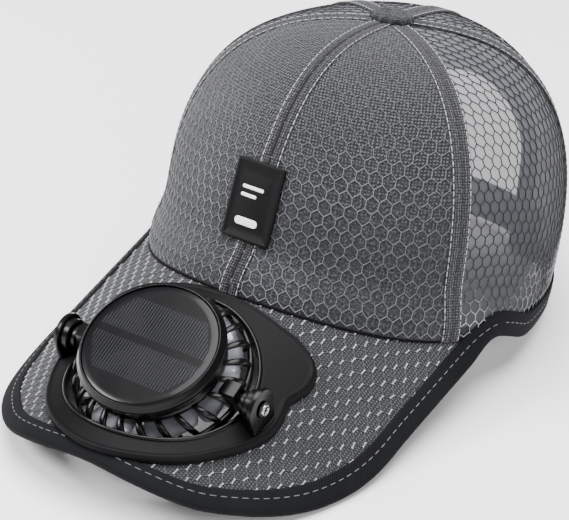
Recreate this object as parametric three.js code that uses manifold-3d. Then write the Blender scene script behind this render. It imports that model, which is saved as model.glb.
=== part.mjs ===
// Solar fan hat: a six-panel net cap with a small solar fan set into its peak.
// Millimetres, +Z up. The hat faces -Y, and the wearer's left is +X.
// Every piece is made in the hem's frame, where the hem lies near z = 0 round the vertical axis.
// The whole hat is then pitched to rest on the back of its hem and the low sides of its peak.
import * as THREE from "three";
import { mergeVertices } from "three/addons/utils/BufferGeometryUtils.js";
import Module from "manifold-3d";

const wasm = await Module();
wasm.setup();

// Gap kept between neighbouring pieces
const clearance = 0.3;

// Slivers narrower than this are merged away
const finestDetail = 0.03;

// Crown, measured on its outside
const crownHeight = 111;
const crownHalfWidth = 80.5;
const crownFrontReach = 94.5; // from the button's axis to the front
const crownBackReach = 96;
const buttonSetback = 7.6; // the button's axis lies this far behind y = 0
const panelWall = 1.2;
const frontFlare = 7; // the front hem stands out by this much
const sideFlare = 4.1;
const flareRise = 0.15; // share of the height in which a flare fades
const planFrontPower = 1.86; // superellipse power of the plan, ahead of the button
const planBackPower = 1.92;
const crownTopHole = 6; // radius left open under the button
const frontSeamAngle = 59.3; // degrees round from the front
const backSeamAngle = 121;
const panelColumns = 8; // facets across a panel
const panelRows = 11;

// Shape of the crown's upright section: powers of its superellipse and how far it leans outwards
const crownSection = {
  front: { out: 3.03, up: 2.96, lean: -0.049 },
  side: { out: 2.54, up: 3.14, lean: 0.029 },
  back: { out: 3.89, up: 2.2, lean: -0.006 },
};

// Peak: a bent board in its cover
const peakReach = 86; // ahead of the crown's front
const peakHalfWidth = 79; // where it passes the crown's front
const peakRootHeight = 19.1; // its top at the crown's front
const peakDroop = 23.5; // degrees below level
const peakSideDrop = 42.5; // how far it falls at peakBendWidth off its middle
const peakBendWidth = 80;
const peakBendPower = 1.94;
const peakThickness = 2.4;
const peakCornerAngle = 67; // degrees round the hem where the peak ends
const peakCornerOverhang = 4.5; // the corner stands this far outside the crown
const peakSeamMargin = 4; // how far it runs in under the crown's wall
const hemReturnAngle = 22; // degrees over which the hem comes down behind the corner

// Front half of the peak's outline, from its tip to its side, in shares of
// peakHalfWidth across and of peakReach forward
const peakOutline = [
  { across: 0.0, forward: 1.0 },
  { across: 0.28, forward: 0.978 },
  { across: 0.53, forward: 0.883 },
  { across: 0.722, forward: 0.709 },
  { across: 0.861, forward: 0.512 },
  { across: 0.949, forward: 0.303 },
  { across: 0.994, forward: 0.094 },
];
const peakSideSteps = [0.3, 0.6, 1]; // shares of the way back from the root line to the corner

// Binding tape round the peak and the hem
const tapeThickness = 0.7;
const peakTapeWidth = 6;
const hemTapeWidth = 10;
const hemTapeGap = 0.5; // off the crown's facets

// Arch left open at the back, above its strap
const archHalfWidth = 33;
const archTop = 75; // above the hem
const archShoulder = 42; // height where its upright sides turn into the arch
const archTapeWidth = 7;
const archTapeGap = 0.9; // off the crown's facets, which are coarse at its shoulder
const strapWidth = 18;
const strapThickness = 1.2;
const strapFoot = 2.5; // above the hem
const strapOverlap = 13; // past each side of the arch

// Top button
const buttonRadius = 8.7;
const buttonHeight = 4.2;
const buttonGathers = 12;
const buttonGatherDepth = 0.07; // share of the radius

// Label patch on the front
const labelWidth = 21;
const labelHeight = 30;
const labelRaise = 18.4; // above the peak's root
const labelShift = -2; // off the front seam
const labelGap = 0.6; // the crown's facets bow out a little behind it
const labelBase = 0.9;
const labelRim = 0.6; // how far its border stands above its face
const labelRimWidth = 1.3;

// Fan plate on the peak
const fanSetting = 41; // from the crown's front to the fan's centre
const fanHoleRadius = 36;
const plateRadius = 46.5;
const plateThickness = 2;
const plateGap = tapeThickness + 2 * clearance; // it lies over the peak's tape at the tip
const plateLipHeight = 0.9;
const plateLipWidth = 1.2;
const collarWall = 1.6;
const collarDepth = 4.2; // below the top of the peak

// Plate outline round the fan's centre: degrees from the front, and share of plateRadius
const plateOutline = [
  { at: 0, reach: 1.0 },
  { at: 30, reach: 0.97 },
  { at: 60, reach: 0.96 },
  { at: 76, reach: 0.99 },
  { at: 90, reach: 1.03 },
  { at: 101, reach: 1.035 },
  { at: 109, reach: 1.045 },
  { at: 118, reach: 1.17 },
  { at: 127, reach: 1.23 },
  { at: 137, reach: 1.165 },
  { at: 147, reach: 1.05 },
  { at: 163, reach: 0.955 },
  { at: 180, reach: 0.92 },
];

// Tilt pivot
const pivotDepth = 0.5; // below the peak's top at the fan's centre
const restTilt = 12.5; // degrees that the fan leans forward of the plate
const earFace = 45; // outer face of each ear, off the middle
const earThickness = 2.2;
const earRadius = 7.8;
const earFootWidth = 15;
const bossRadius = 6.3;
const bossLength = 3;
const stubRadius = 2.4;
const stubRingRadius = 3.6;
const stubRingWidth = 1.4;
const knobRadius = 3.4;
const knobThickness = 1.5;

// Fan housing, in its own frame: heights run along the fan's axis from the pivot
const discTop = 17; // top of the solar rim
const bezelRadius = 28.5;
const bezelHeight = 4.6;
const bezelLedge = 4; // how far the ledge under the cell runs in
const cellRadius = 26;
const cellThickness = 1.4;
const cellSink = 0.4; // below the top of the rim
const drumRadius = 26.6;
const drumWall = 1.4;
const drumFoot = 6; // height of its open lower end
const cageRadius = 34.3;
const cageTop = -1;
const cageBottom = -5;
const cageWall = 1.7;
const ribCount = 24;
const ribWidth = 2.2;
const ribDepth = 1.8;
const ribSwirl = 9; // degrees that a rib turns on its way down
const ribBulge = 3.1; // how far it bows outwards
const guardThickness = 1.6;
const guardSpokes = 4;
const guardSpokeWidth = 1.8;
const guardHubRadius = 7;

// Motor and impeller
const motorRadius = 9;
const motorBottom = 5;
const shaftRadius = 1;
const hubRadius = 6.5;
const hubTop = 3.2;
const hubBottom = -2.4;
const bladeCount = 7;
const bladeRadius = 30.5;
const bladeThickness = 1.1;
const bladeRootChord = 9;
const bladeTipChord = 17;
const bladeRootPitch = 32; // degrees
const bladeTipPitch = 17;

const degrees = Math.PI / 180;
const droop = peakDroop * degrees;

// Materials, one for each piece so that each can be given its own finish
function finish(color, roughness, metalness = 0) {
  return new THREE.MeshStandardMaterial({ color, roughness, metalness });
}
const looks = {
  netOverCloth: () => finish(0x6b6c70, 0.85),
  openNet: () => finish(0x74757a, 0.8),
  peakCover: () => finish(0x5d5e62, 0.7),
  tape: () => finish(0x2c2d31, 0.9),
  rubber: () => finish(0x161618, 0.6),
  plate: () => finish(0x2a2a2e, 0.5),
  housing: () => finish(0x18181b, 0.35),
  bezel: () => finish(0x1b1c1f, 0.25),
  cell: () => finish(0x1d1f24, 0.15),
  blades: () => finish(0x8e9096, 0.3),
  steel: () => finish(0xa8a9ac, 0.3, 1),
};

// Smooth step from 0 to 1
function ease(t) {
  const u = Math.min(1, Math.max(0, t));
  return u * u * (3 - 2 * u);
}

function mix(a, b, t) {
  return a + (b - a) * t;
}

// Smooth curve through a table of columns `at` and `reach`, level at both its ends
function readOutline(table, at) {
  const last = table.length - 1;
  const slope = (k) =>
    k === 0 || k === last
      ? 0
      : (table[k + 1].reach - table[k - 1].reach) / (table[k + 1].at - table[k - 1].at);
  let k = 0;
  while (k < last - 1 && at > table[k + 1].at) k++;
  const span = table[k + 1].at - table[k].at;
  const t = (at - table[k].at) / span;
  const s = t * t * (3 - 2 * t);
  const rise = slope(k) * t * (1 - t) * (1 - t) - slope(k + 1) * t * t * (1 - t);
  return mix(table[k].reach, table[k + 1].reach, s) + rise * span;
}

// Closed body from a geometry with repeated vertices
function solid(geometry) {
  const bare = geometry.index ? geometry.toNonIndexed() : geometry.clone();
  bare.deleteAttribute("normal");
  bare.deleteAttribute("uv");
  const merged = mergeVertices(bare, 1e-4);
  const mesh = new wasm.Mesh({
    numProp: 3,
    vertProperties: new Float32Array(merged.attributes.position.array),
    triVerts: new Uint32Array(merged.index.array),
  });
  return new wasm.Manifold(mesh);
}

// The same for a geometry that may be inside out
function solidOf(geometry) {
  const body = solid(geometry);
  if (body.volume() > 0) return body;
  const flipped = geometry.index ? geometry.toNonIndexed() : geometry.clone();
  const position = flipped.attributes.position;
  const first = new THREE.Vector3();
  const second = new THREE.Vector3();
  for (let i = 0; i < position.count; i += 3) {
    first.fromBufferAttribute(position, i);
    second.fromBufferAttribute(position, i + 1);
    position.setXYZ(i, second.x, second.y, second.z);
    position.setXYZ(i + 1, first.x, first.y, first.z);
  }
  return solid(flipped);
}

function geometryOf(body) {
  const mesh = body.simplify(finestDetail).getMesh();
  const positions = new Float32Array(mesh.numVert * 3);
  for (let i = 0; i < mesh.numVert; i++) {
    const first = i * mesh.numProp;
    positions.set(mesh.vertProperties.subarray(first, first + 3), i * 3);
  }
  return new THREE.BufferGeometry()
    .setAttribute("position", new THREE.BufferAttribute(positions, 3))
    .setIndex(new THREE.BufferAttribute(new Uint32Array(mesh.triVerts), 1));
}

function fromTriangles(triangles) {
  const positions = new Float32Array(triangles.length * 9);
  triangles.forEach((corners, i) => {
    corners.forEach((p, k) => positions.set([p.x, p.y, p.z], i * 9 + k * 3));
  });
  return new THREE.BufferGeometry().setAttribute(
    "position",
    new THREE.BufferAttribute(positions, 3),
  );
}

// Thick sheet between two lattices of points, front[i][j] and back[i][j].
// Seen from its front, i runs to the right and j runs up.
function sheet(front, back) {
  const across = front.length - 1;
  const up = front[0].length - 1;
  const triangles = [];
  const quad = (a, b, c, d) => triangles.push([a, b, c], [a, c, d]);
  for (let i = 0; i < across; i++) {
    for (let j = 0; j < up; j++) {
      quad(front[i][j], front[i + 1][j], front[i + 1][j + 1], front[i][j + 1]);
      quad(back[i][j], back[i][j + 1], back[i + 1][j + 1], back[i + 1][j]);
    }
    quad(back[i][0], back[i + 1][0], front[i + 1][0], front[i][0]);
    quad(front[i][up], front[i + 1][up], back[i + 1][up], back[i][up]);
  }
  for (let j = 0; j < up; j++) {
    quad(back[0][j], front[0][j], front[0][j + 1], back[0][j + 1]);
    quad(front[across][j], back[across][j], back[across][j + 1], front[across][j + 1]);
  }
  return fromTriangles(triangles);
}

// Ring whose section changes round it: rings[i] is the closed section at step i
function closedRing(rings) {
  const triangles = [];
  const count = rings.length;
  rings.forEach((here, i) => {
    const next = rings[(i + 1) % count];
    here.forEach((a, k) => {
      const m = (k + 1) % here.length;
      triangles.push([a, next[k], next[m]], [a, next[m], here[m]]);
    });
  });
  return fromTriangles(triangles);
}

// Body of revolution about +Z through points of [radius, height]
function turned(points, sides) {
  const geometry = new THREE.LatheGeometry(
    points.map(([r, h]) => new THREE.Vector2(r, h)),
    sides,
  );
  geometry.rotateX(Math.PI / 2);
  return solidOf(geometry);
}

// Weights of the front, side and back sections at an angle round from the front
function sectionWeights(phi) {
  const c = Math.cos(phi);
  const front = Math.max(c, 0) ** 2;
  const back = Math.max(-c, 0) ** 2;
  return { front, back, side: 1 - front - back };
}

function sectionAt(phi, column) {
  const w = sectionWeights(phi);
  const { front, side, back } = crownSection;
  return w.front * front[column] + w.side * side[column] + w.back * back[column];
}

// Share by which the hem stands out at an angle
function flareAt(phi) {
  const w = sectionWeights(phi);
  const ahead = ease((Math.cos(phi) + 0.25) / 0.6);
  return (w.front * frontFlare) / crownFrontReach + (w.side * ahead * sideFlare) / crownHalfWidth;
}

// Plan of the crown about the button's axis, at full width
function planAt(phi) {
  const c = Math.cos(phi);
  const s = Math.sin(phi);
  const power = c > 0 ? planFrontPower : planBackPower;
  const k = (Math.abs(c) ** power + Math.abs(s) ** power) ** (-1 / power);
  const reach = c > 0 ? crownFrontReach : crownBackReach;
  return { x: crownHalfWidth * s * k, y: -reach * c * k };
}

const peakRootY = buttonSetback - crownFrontReach - frontFlare;

// How far the peak has fallen at a distance off its middle
function bendDrop(x) {
  return peakSideDrop * (Math.abs(x) / peakBendWidth) ** peakBendPower;
}

// Height of the peak's top
function peakTop(x, y) {
  return peakRootHeight - Math.tan(droop) * (peakRootY - y) - bendDrop(x);
}

// Upward normal of the peak's top
function peakNormal(x) {
  const step = 0.5;
  const across = (bendDrop(x + step) - bendDrop(x - step)) / (2 * step);
  return new THREE.Vector3(across, -Math.tan(droop), 1).normalize();
}

function peakPoint(x, y, height) {
  return new THREE.Vector3(x, y, peakTop(x, y)).addScaledVector(peakNormal(x), height);
}

// Lower edge of the crown: on the peak ahead of its corners, level behind them
function hemHeight(phi) {
  const plan = planAt(phi);
  const out = 1 + flareAt(phi);
  const onPeak = peakTop(plan.x * out, buttonSetback + plan.y * out) + clearance;
  const away = Math.abs(phi) / degrees;
  return mix(onPeak, 0, ease((away - peakCornerAngle) / hemReturnAngle));
}

// Point on the crown's outside; rise goes from 0 at the hem to 1 at the top
function crownPoint(phi, rise) {
  const plan = planAt(phi);
  const up = sectionAt(phi, "up");
  const lean = 1 + sectionAt(phi, "lean") * 4 * rise * (1 - rise / 2);
  const flare = flareAt(phi) * Math.exp(-((rise / flareRise) ** 3));
  const out = Math.max(0, 1 - rise ** up) ** (1 / sectionAt(phi, "out")) * lean + flare;
  const hem = hemHeight(phi);
  return new THREE.Vector3(
    plan.x * out,
    buttonSetback + plan.y * out,
    mix(hem, crownHeight, rise),
  );
}

function crownNormal(phi, rise) {
  const turn = 0.01;
  const step = 0.004;
  const r = Math.min(1 - 2 * step, Math.max(2 * step, rise));
  const around = crownPoint(phi + turn, r).sub(crownPoint(phi - turn, r));
  const upward = crownPoint(phi, r + step).sub(crownPoint(phi, r - step));
  return around.cross(upward).normalize();
}

function crownOffset(phi, rise, height) {
  return crownPoint(phi, rise).addScaledVector(crownNormal(phi, rise), height);
}

// Share of the crown's height that is this far above its hem
function riseOf(phi, height) {
  return height / (crownHeight - hemHeight(phi));
}

function crownPanel(fromAngle, toAngle) {
  const front = [];
  const back = [];
  for (let i = 0; i <= panelColumns; i++) {
    const outer = [];
    const inner = [];
    for (let j = 0; j <= panelRows; j++) {
      const middle = mix(fromAngle, toAngle, i / panelColumns) * degrees;
      const topShare = crownTopHole / Math.hypot(planAt(middle).x, planAt(middle).y);
      const topAngle = Math.acos(topShare ** (sectionAt(middle, "out") / 2));
      const angle = topAngle * (j / panelRows) ** 1.6;
      const rise = Math.sin(angle) ** (2 / sectionAt(middle, "up"));
      const here = crownPoint(middle, rise);
      const radius = Math.hypot(here.x, here.y - buttonSetback);
      // Both edges stand half a gap off the seam, so they turn more near the top
      const edge = Math.asin(clearance / 2 / radius);
      const phi = middle + edge * (1 - (2 * i) / panelColumns);
      const out = crownPoint(phi, rise);
      const into = crownOffset(phi, rise, -panelWall);
      if (j === 0) {
        const onPeak = peakTop(into.x, into.y) + clearance;
        const away = Math.abs(phi) / degrees;
        into.z = mix(onPeak, out.z, ease((away - peakCornerAngle) / hemReturnAngle));
      }
      outer.push(out);
      inner.push(into);
    }
    front.push(outer);
    back.push(inner);
  }
  return sheet(front, back);
}

// Point on the back of the crown at a distance off its middle, a height above its hem and an
// offset from its outside
function backPoint(x, height, offset) {
  const rise = Math.max(0, height) / crownHeight;
  let near = 90 * degrees;
  let far = Math.PI;
  for (let k = 0; k < 30; k++) {
    const middle = (near + far) / 2;
    if (crownPoint(middle, rise).x > Math.abs(x)) near = middle;
    else far = middle;
  }
  const phi = x < 0 ? -near : near;
  const point = crownOffset(phi, rise, offset);
  point.z += Math.min(0, height);
  return point;
}

// Outline of the arch from the foot of one side round its top to the other, grown by a margin
function archOutline(steps, margin, foot) {
  const half = archHalfWidth + margin;
  const points = [new THREE.Vector2(-half, foot)];
  for (let k = 0; k <= steps; k++) {
    const angle = Math.PI * (1 - k / steps);
    const up = (archTop - archShoulder + margin) * Math.sin(angle);
    points.push(new THREE.Vector2(half * Math.cos(angle), archShoulder + up));
  }
  points.push(new THREE.Vector2(half, foot));
  return points;
}

// Back panel with its half of the arch cut away
function backPanel(fromAngle, toAngle) {
  const outline = archOutline(16, 0, -crownHeight / 4);
  const depth = 2 * crownBackReach;
  const arch = new THREE.ExtrudeGeometry(new THREE.Shape(outline), { depth, bevelEnabled: false });
  // The outline's y runs up, and the extrusion runs backwards from near the button's axis
  arch.rotateX(Math.PI / 2).scale(1, -1, 1).translate(0, crownBackReach / 2, 0);
  return geometryOf(solid(crownPanel(fromAngle, toAngle)).subtract(solidOf(arch)));
}

// Tape folded over the arch's edge
function archBinding() {
  const outside = archTapeGap + tapeThickness;
  const inside = -panelWall - archTapeGap;
  const steps = 16;
  const outer = archOutline(steps, archTapeWidth, -outside);
  const edge = archOutline(steps, -archTapeGap, -outside);
  const fold = archOutline(steps, -outside, -outside);
  const rows = (points, offset) => points.map((p) => backPoint(p.x, p.y, offset));
  const face = [
    rows(outer, outside),
    rows(fold, outside),
    rows(fold, inside - tapeThickness),
    rows(outer, inside - tapeThickness),
  ];
  const back = [
    rows(outer, archTapeGap),
    rows(edge, archTapeGap),
    rows(edge, inside),
    rows(outer, inside),
  ];
  const turn = (lattice) => lattice[0].map((_, i) => lattice.map((row) => row[i]));
  return sheet(turn(face), turn(back));
}

// Strap across the foot of the arch, outside the tapes
function backStrap() {
  const columns = 12;
  const near = archTapeGap + tapeThickness + clearance;
  const reach = archHalfWidth + strapOverlap;
  const front = [];
  const back = [];
  for (let i = 0; i <= columns; i++) {
    const x = mix(reach, -reach, i / columns);
    const heights = [strapFoot, strapFoot + strapWidth / 2, strapFoot + strapWidth];
    front.push(heights.map((height) => backPoint(x, height, near + strapThickness)));
    back.push(heights.map((height) => backPoint(x, height, near)));
  }
  return sheet(front, back);
}

// Plan outline of the peak from its right corner round the tip to its left corner
function peakEdgePlan(steps) {
  const corner = crownPoint(peakCornerAngle * degrees, 0);
  const cornerX = corner.x + peakCornerOverhang;
  const side = peakOutline.map(
    ({ across, forward }) =>
      new THREE.Vector2(across * peakHalfWidth, peakRootY - forward * peakReach),
  );
  const last = side[side.length - 1];
  peakSideSteps.forEach((share) => {
    side.push(new THREE.Vector2(mix(last.x, cornerX, share), mix(last.y, corner.y, share)));
  });
  const mirrored = side.slice(1).map((p) => new THREE.Vector2(-p.x, p.y));
  const curve = new THREE.SplineCurve([...mirrored.reverse(), ...side]);
  return curve.getSpacedPoints(steps);
}

// The same outline moved inwards
function peakEdgeInset(points, inset) {
  return points.map((p, i) => {
    const before = points[Math.max(0, i - 1)];
    const after = points[Math.min(points.length - 1, i + 1)];
    const along = after.clone().sub(before).normalize();
    return new THREE.Vector2(p.x - along.y * inset, p.y + along.x * inset);
  });
}

const peakSteps = 36;
const peakEdge = peakEdgePlan(peakSteps);
const boardEdge = peakEdgeInset(peakEdge, tapeThickness + clearance);

// Bent board with its cover, before the fan's hole is cut
function peakBoard() {
  const rows = 5;
  const top = [];
  const bottom = [];
  for (let i = 0; i <= peakSteps; i++) {
    const phi = mix(-peakCornerAngle, peakCornerAngle, i / peakSteps) * degrees;
    const root = crownOffset(phi, 0, -peakSeamMargin);
    const upper = [];
    const lower = [];
    for (let j = 0; j <= rows; j++) {
      const x = mix(boardEdge[i].x, root.x, j / rows);
      const y = mix(boardEdge[i].y, root.y, j / rows);
      upper.push(peakPoint(x, y, 0));
      lower.push(peakPoint(x, y, -peakThickness));
    }
    top.push(upper);
    bottom.push(lower);
  }
  return sheet(top, bottom);
}

// Tape folded round the peak's outer edge. Each row is a point of the fold: how far in from the
// board's edge and how far above the board's top, for the tape's face and its back.
function peakBinding() {
  const under = -peakThickness - clearance;
  const skin = clearance + tapeThickness;
  const fold = [
    { faceIn: peakTapeWidth, face: skin, backIn: peakTapeWidth, back: clearance },
    { faceIn: -skin, face: skin, backIn: -clearance, back: clearance },
    { faceIn: -skin, face: under - tapeThickness, backIn: -clearance, back: under },
    { faceIn: peakTapeWidth, face: under - tapeThickness, backIn: peakTapeWidth, back: under },
  ];
  const face = [];
  const back = [];
  for (let i = 0; i <= peakSteps; i++) {
    face.push([]);
    back.push([]);
    const before = boardEdge[Math.max(0, i - 1)];
    const after = boardEdge[Math.min(peakSteps, i + 1)];
    const along = after.clone().sub(before).normalize();
    const at = (inset, height) =>
      peakPoint(boardEdge[i].x - along.y * inset, boardEdge[i].y + along.x * inset, height);
    fold.forEach((row) => {
      face[i].push(at(row.faceIn, row.face));
      back[i].push(at(row.backIn, row.back));
    });
  }
  const tape = sheet(
    face.map((column) => column.reverse()),
    back.map((column) => column.reverse()),
  );
  return geometryOf(solid(tape).subtract(crownFootprint()));
}

// Upright prism over the ground that the crown's front covers, with room for a gap round it
function crownFootprint() {
  const widest = peakCornerAngle + 12;
  const points = [new THREE.Vector2(0, buttonSetback)];
  for (let k = 0; k <= 32; k++) {
    const point = crownOffset(mix(-widest, widest, k / 32) * degrees, 0, clearance);
    points.push(new THREE.Vector2(point.x, point.y));
  }
  const depth = 4 * peakSideDrop;
  const prism = new THREE.ExtrudeGeometry(new THREE.Shape(points), { depth, bevelEnabled: false });
  return solid(prism.translate(0, 0, -depth / 2));
}

// Tape folded round one side of the crown's hem, from the peak's corner back to the arch
function hemBinding(side) {
  const outside = hemTapeGap + tapeThickness;
  const inside = -panelWall - hemTapeGap;
  const fold = [
    { faceUp: hemTapeWidth, face: outside, backUp: hemTapeWidth, back: hemTapeGap },
    { faceUp: -outside, face: outside, backUp: -hemTapeGap, back: hemTapeGap },
    { faceUp: -outside, face: inside - tapeThickness, backUp: -hemTapeGap, back: inside },
    { faceUp: hemTapeWidth, face: inside - tapeThickness, backUp: hemTapeWidth, back: inside },
  ];
  // It has a facet for each facet of the panels
  const start = peakCornerAngle + 4;
  const corner = backPoint(archHalfWidth + archTapeWidth + clearance, 0, 0);
  const end = Math.atan2(corner.x / crownHalfWidth, -(corner.y - buttonSetback) / crownBackReach);
  const columns = [];
  for (let i = 0; i <= panelColumns; i++) {
    columns.push(mix(frontSeamAngle, backSeamAngle, i / panelColumns));
    columns.push(mix(backSeamAngle, 180, i / panelColumns));
  }
  const last = end / degrees;
  const inner = columns.filter((angle) => angle > start + 1 && angle < last - 1);
  const angles = [...new Set([start, ...inner, last])].sort((a, b) => a - b);
  const face = [];
  const back = [];
  angles.forEach((angle) => {
    const phi = side * angle * degrees;
    const at = (up, height) => {
      const point = crownOffset(phi, riseOf(phi, Math.max(0, up)), height);
      point.z += Math.min(0, up);
      return point;
    };
    face.push(fold.map((row) => at(row.faceUp, row.face)));
    back.push(fold.map((row) => at(row.backUp, row.back)));
  });
  return geometryOf(solidOf(sheet(face, back)));
}

// Gathered cloth button with a short shank in the hole where the panels meet
function topButton() {
  const sides = buttonGathers * 2;
  const shank = crownTopHole - 1.5;
  const profile = [
    { radius: shank, height: -panelWall, gathered: 0 },
    { radius: shank, height: clearance, gathered: 0 },
    { radius: buttonRadius * 0.93, height: clearance, gathered: 0.5 },
    { radius: buttonRadius, height: clearance + buttonHeight * 0.3, gathered: 1 },
    { radius: buttonRadius * 0.84, height: clearance + buttonHeight * 0.75, gathered: 1 },
    { radius: buttonRadius * 0.45, height: clearance + buttonHeight, gathered: 0.6 },
  ];
  const triangles = [];
  const rings = profile.map(({ radius, height, gathered }) => {
    const ring = [];
    for (let i = 0; i < sides; i++) {
      const angle = (i / sides) * 2 * Math.PI;
      const pull = 1 + buttonGatherDepth * gathered * Math.cos(buttonGathers * angle);
      ring.push(
        new THREE.Vector3(
          radius * pull * Math.cos(angle),
          radius * pull * Math.sin(angle),
          crownHeight + height,
        ),
      );
    }
    return ring;
  });
  const low = new THREE.Vector3(0, 0, crownHeight - panelWall);
  const high = new THREE.Vector3(0, 0, crownHeight + clearance + buttonHeight * 0.97);
  for (let i = 0; i < sides; i++) {
    const next = (i + 1) % sides;
    triangles.push([low, rings[0][next], rings[0][i]]);
    triangles.push([high, rings[rings.length - 1][i], rings[rings.length - 1][next]]);
    for (let k = 0; k < rings.length - 1; k++) {
      triangles.push([rings[k][i], rings[k][next], rings[k + 1][next]]);
      triangles.push([rings[k][i], rings[k + 1][next], rings[k + 1][i]]);
    }
  }
  return fromTriangles(triangles);
}

// Grid lines across a label: its edges, both sides of its raised rim, and evenly between
function labelLines(size, between) {
  const step = 0.25; // slope of the rim's inner side
  const inner = size / 2 - labelRimWidth - step;
  const lines = [-size / 2, -size / 2 + labelRimWidth];
  for (let k = 0; k <= between; k++) lines.push(mix(-inner, inner, k / between));
  lines.push(size / 2 - labelRimWidth, size / 2);
  return lines;
}

function frontLabel() {
  const columns = labelLines(labelWidth, 2);
  const rows = labelLines(labelHeight, 3);
  const middleHeight = labelRaise + labelHeight / 2;
  const front = [];
  const back = [];
  columns.forEach((across, i) => {
    front.push([]);
    back.push([]);
    rows.forEach((up, j) => {
      const rise = riseOf(0, middleHeight + up);
      const width = (crownPoint(0, rise).y - buttonSetback) / -crownFrontReach;
      const phi = (across + labelShift) / (crownHalfWidth * width);
      const onRim = i < 2 || j < 2 || i > columns.length - 3 || j > rows.length - 3;
      const height = labelGap + labelBase + (onRim ? labelRim : 0);
      front[i].push(crownOffset(phi, rise, height));
      back[i].push(crownOffset(phi, rise, labelGap));
    });
  });
  return sheet(front, back);
}

// Fan's centre on the peak's top, and the directions of its plate
const fanY = peakRootY - fanSetting;
const fanSeat = new THREE.Vector3(0, fanY, peakTop(0, fanY));

// Point above the peak's top: x off the middle, ahead along the slope, and height along the
// plate's normal
function platePoint(x, ahead, height) {
  const lift = height - bendDrop(x) * Math.cos(droop);
  return new THREE.Vector3(
    x,
    fanSeat.y - ahead * Math.cos(droop) - lift * Math.sin(droop),
    fanSeat.z - ahead * Math.sin(droop) + lift * Math.cos(droop),
  );
}

// Frame of the plate: its origin is the fan's centre on the peak's top, +Z is its normal
const plateFrame = new THREE.Matrix4()
  .makeRotationX(droop)
  .setPosition(fanSeat);

// Flange that lies on the peak, with a lip round its hole and a collar down through the peak
function plateRing() {
  const sides = 40;
  const under = plateGap;
  const over = plateGap + plateThickness;
  const rings = [];
  for (let i = 0; i < sides; i++) {
    const angle = (i / sides) * 2 * Math.PI;
    const fromFront = Math.abs(angle > Math.PI ? 2 * Math.PI - angle : angle) / degrees;
    const rim = plateRadius * readOutline(plateOutline, fromFront);
    const section = [
      { radius: fanHoleRadius, height: -collarDepth },
      { radius: fanHoleRadius, height: over + plateLipHeight },
      { radius: fanHoleRadius + plateLipWidth, height: over + plateLipHeight },
      { radius: fanHoleRadius + 2 * plateLipWidth, height: over },
      { radius: rim - 0.8, height: over },
      { radius: rim, height: over - 0.8 },
      { radius: rim, height: under },
      { radius: fanHoleRadius + collarWall, height: under },
      { radius: fanHoleRadius + collarWall, height: -collarDepth },
    ];
    rings.push(
      section.map(({ radius, height }) =>
        platePoint(radius * Math.sin(angle), radius * Math.cos(angle), height),
      ),
    );
  }
  return solidOf(closedRing(rings));
}

// Cylinder along +X between two distances off the middle, at the pivot in a given frame
function crossPin(radius, from, to, sides, height = 0) {
  return new THREE.CylinderGeometry(radius, radius, to - from, sides)
    .rotateZ(-Math.PI / 2)
    .translate((from + to) / 2, 0, height);
}

// Upright ear with its boss, for one side (+1 left, -1 right), in the plate's frame
function ear(side) {
  const foot = plateGap + plateThickness / 2 - bendDrop(earFace) * Math.cos(droop);
  const outline = new THREE.Shape();
  outline.moveTo(-earFootWidth / 2, foot);
  outline.lineTo(earFootWidth / 2, foot);
  outline.lineTo(earRadius, -pivotDepth);
  outline.absarc(0, -pivotDepth, earRadius, 0, Math.PI, false);
  outline.closePath();
  const blade = new THREE.ExtrudeGeometry(outline, {
    depth: earThickness,
    bevelEnabled: false,
    curveSegments: 10,
  });
  // The outline's x runs fore and aft and its y runs up; the extrusion runs off the middle
  blade.rotateX(Math.PI / 2).rotateZ(Math.PI / 2).translate(earFace - earThickness, 0, 0);
  const inner = earFace - earThickness - bossLength;
  const boss = crossPin(bossRadius, inner, earFace - earThickness / 2, 24, -pivotDepth);
  const bore = crossPin(stubRadius + clearance, inner - 1, earFace + 1, 16, -pivotDepth);
  const body = solid(blade).add(solid(boss)).subtract(solid(bore));
  return side > 0 ? body : body.mirror([1, 0, 0]);
}

function fanBasePlate() {
  const ears = [1, -1].map((side) => solid(geometryOf(ear(side)).applyMatrix4(plateFrame)));
  return geometryOf(plateRing().add(ears[0]).add(ears[1]));
}

function peakWithHole() {
  const radius = fanHoleRadius + collarWall + clearance;
  const deep = peakSideDrop;
  const drill = new THREE.CylinderGeometry(radius, radius, 2 * deep, 40)
    .rotateX(Math.PI / 2)
    .applyMatrix4(plateFrame);
  return geometryOf(solid(peakBoard()).subtract(solid(drill)));
}

// Heights of the pieces stacked on the drum
const bezelBottom = discTop - bezelHeight;
const drumTop = bezelBottom - clearance;
const cellTop = discTop - cellSink;
const ledgeTop = cellTop - cellThickness - clearance;

function solarBezel() {
  const round = 1.1;
  const seat = cellRadius + clearance;
  const points = [
    [seat - bezelLedge, bezelBottom],
    [bezelRadius, bezelBottom],
    [bezelRadius, discTop - 1.3 * round],
    [bezelRadius - 0.45 * round, discTop - 0.4 * round],
    [bezelRadius - round, discTop],
    [seat, discTop],
    [seat, ledgeTop],
    [seat - bezelLedge, ledgeTop],
    [seat - bezelLedge, bezelBottom],
  ];
  return geometryOf(turned(points, 40));
}

function solarCell() {
  const bottom = cellTop - cellThickness;
  const points = [
    [0, bottom],
    [cellRadius, bottom],
    [cellRadius, cellTop - 0.3],
    [cellRadius - 0.3, cellTop],
    [0, cellTop],
  ];
  return geometryOf(turned(points, 40));
}

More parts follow.
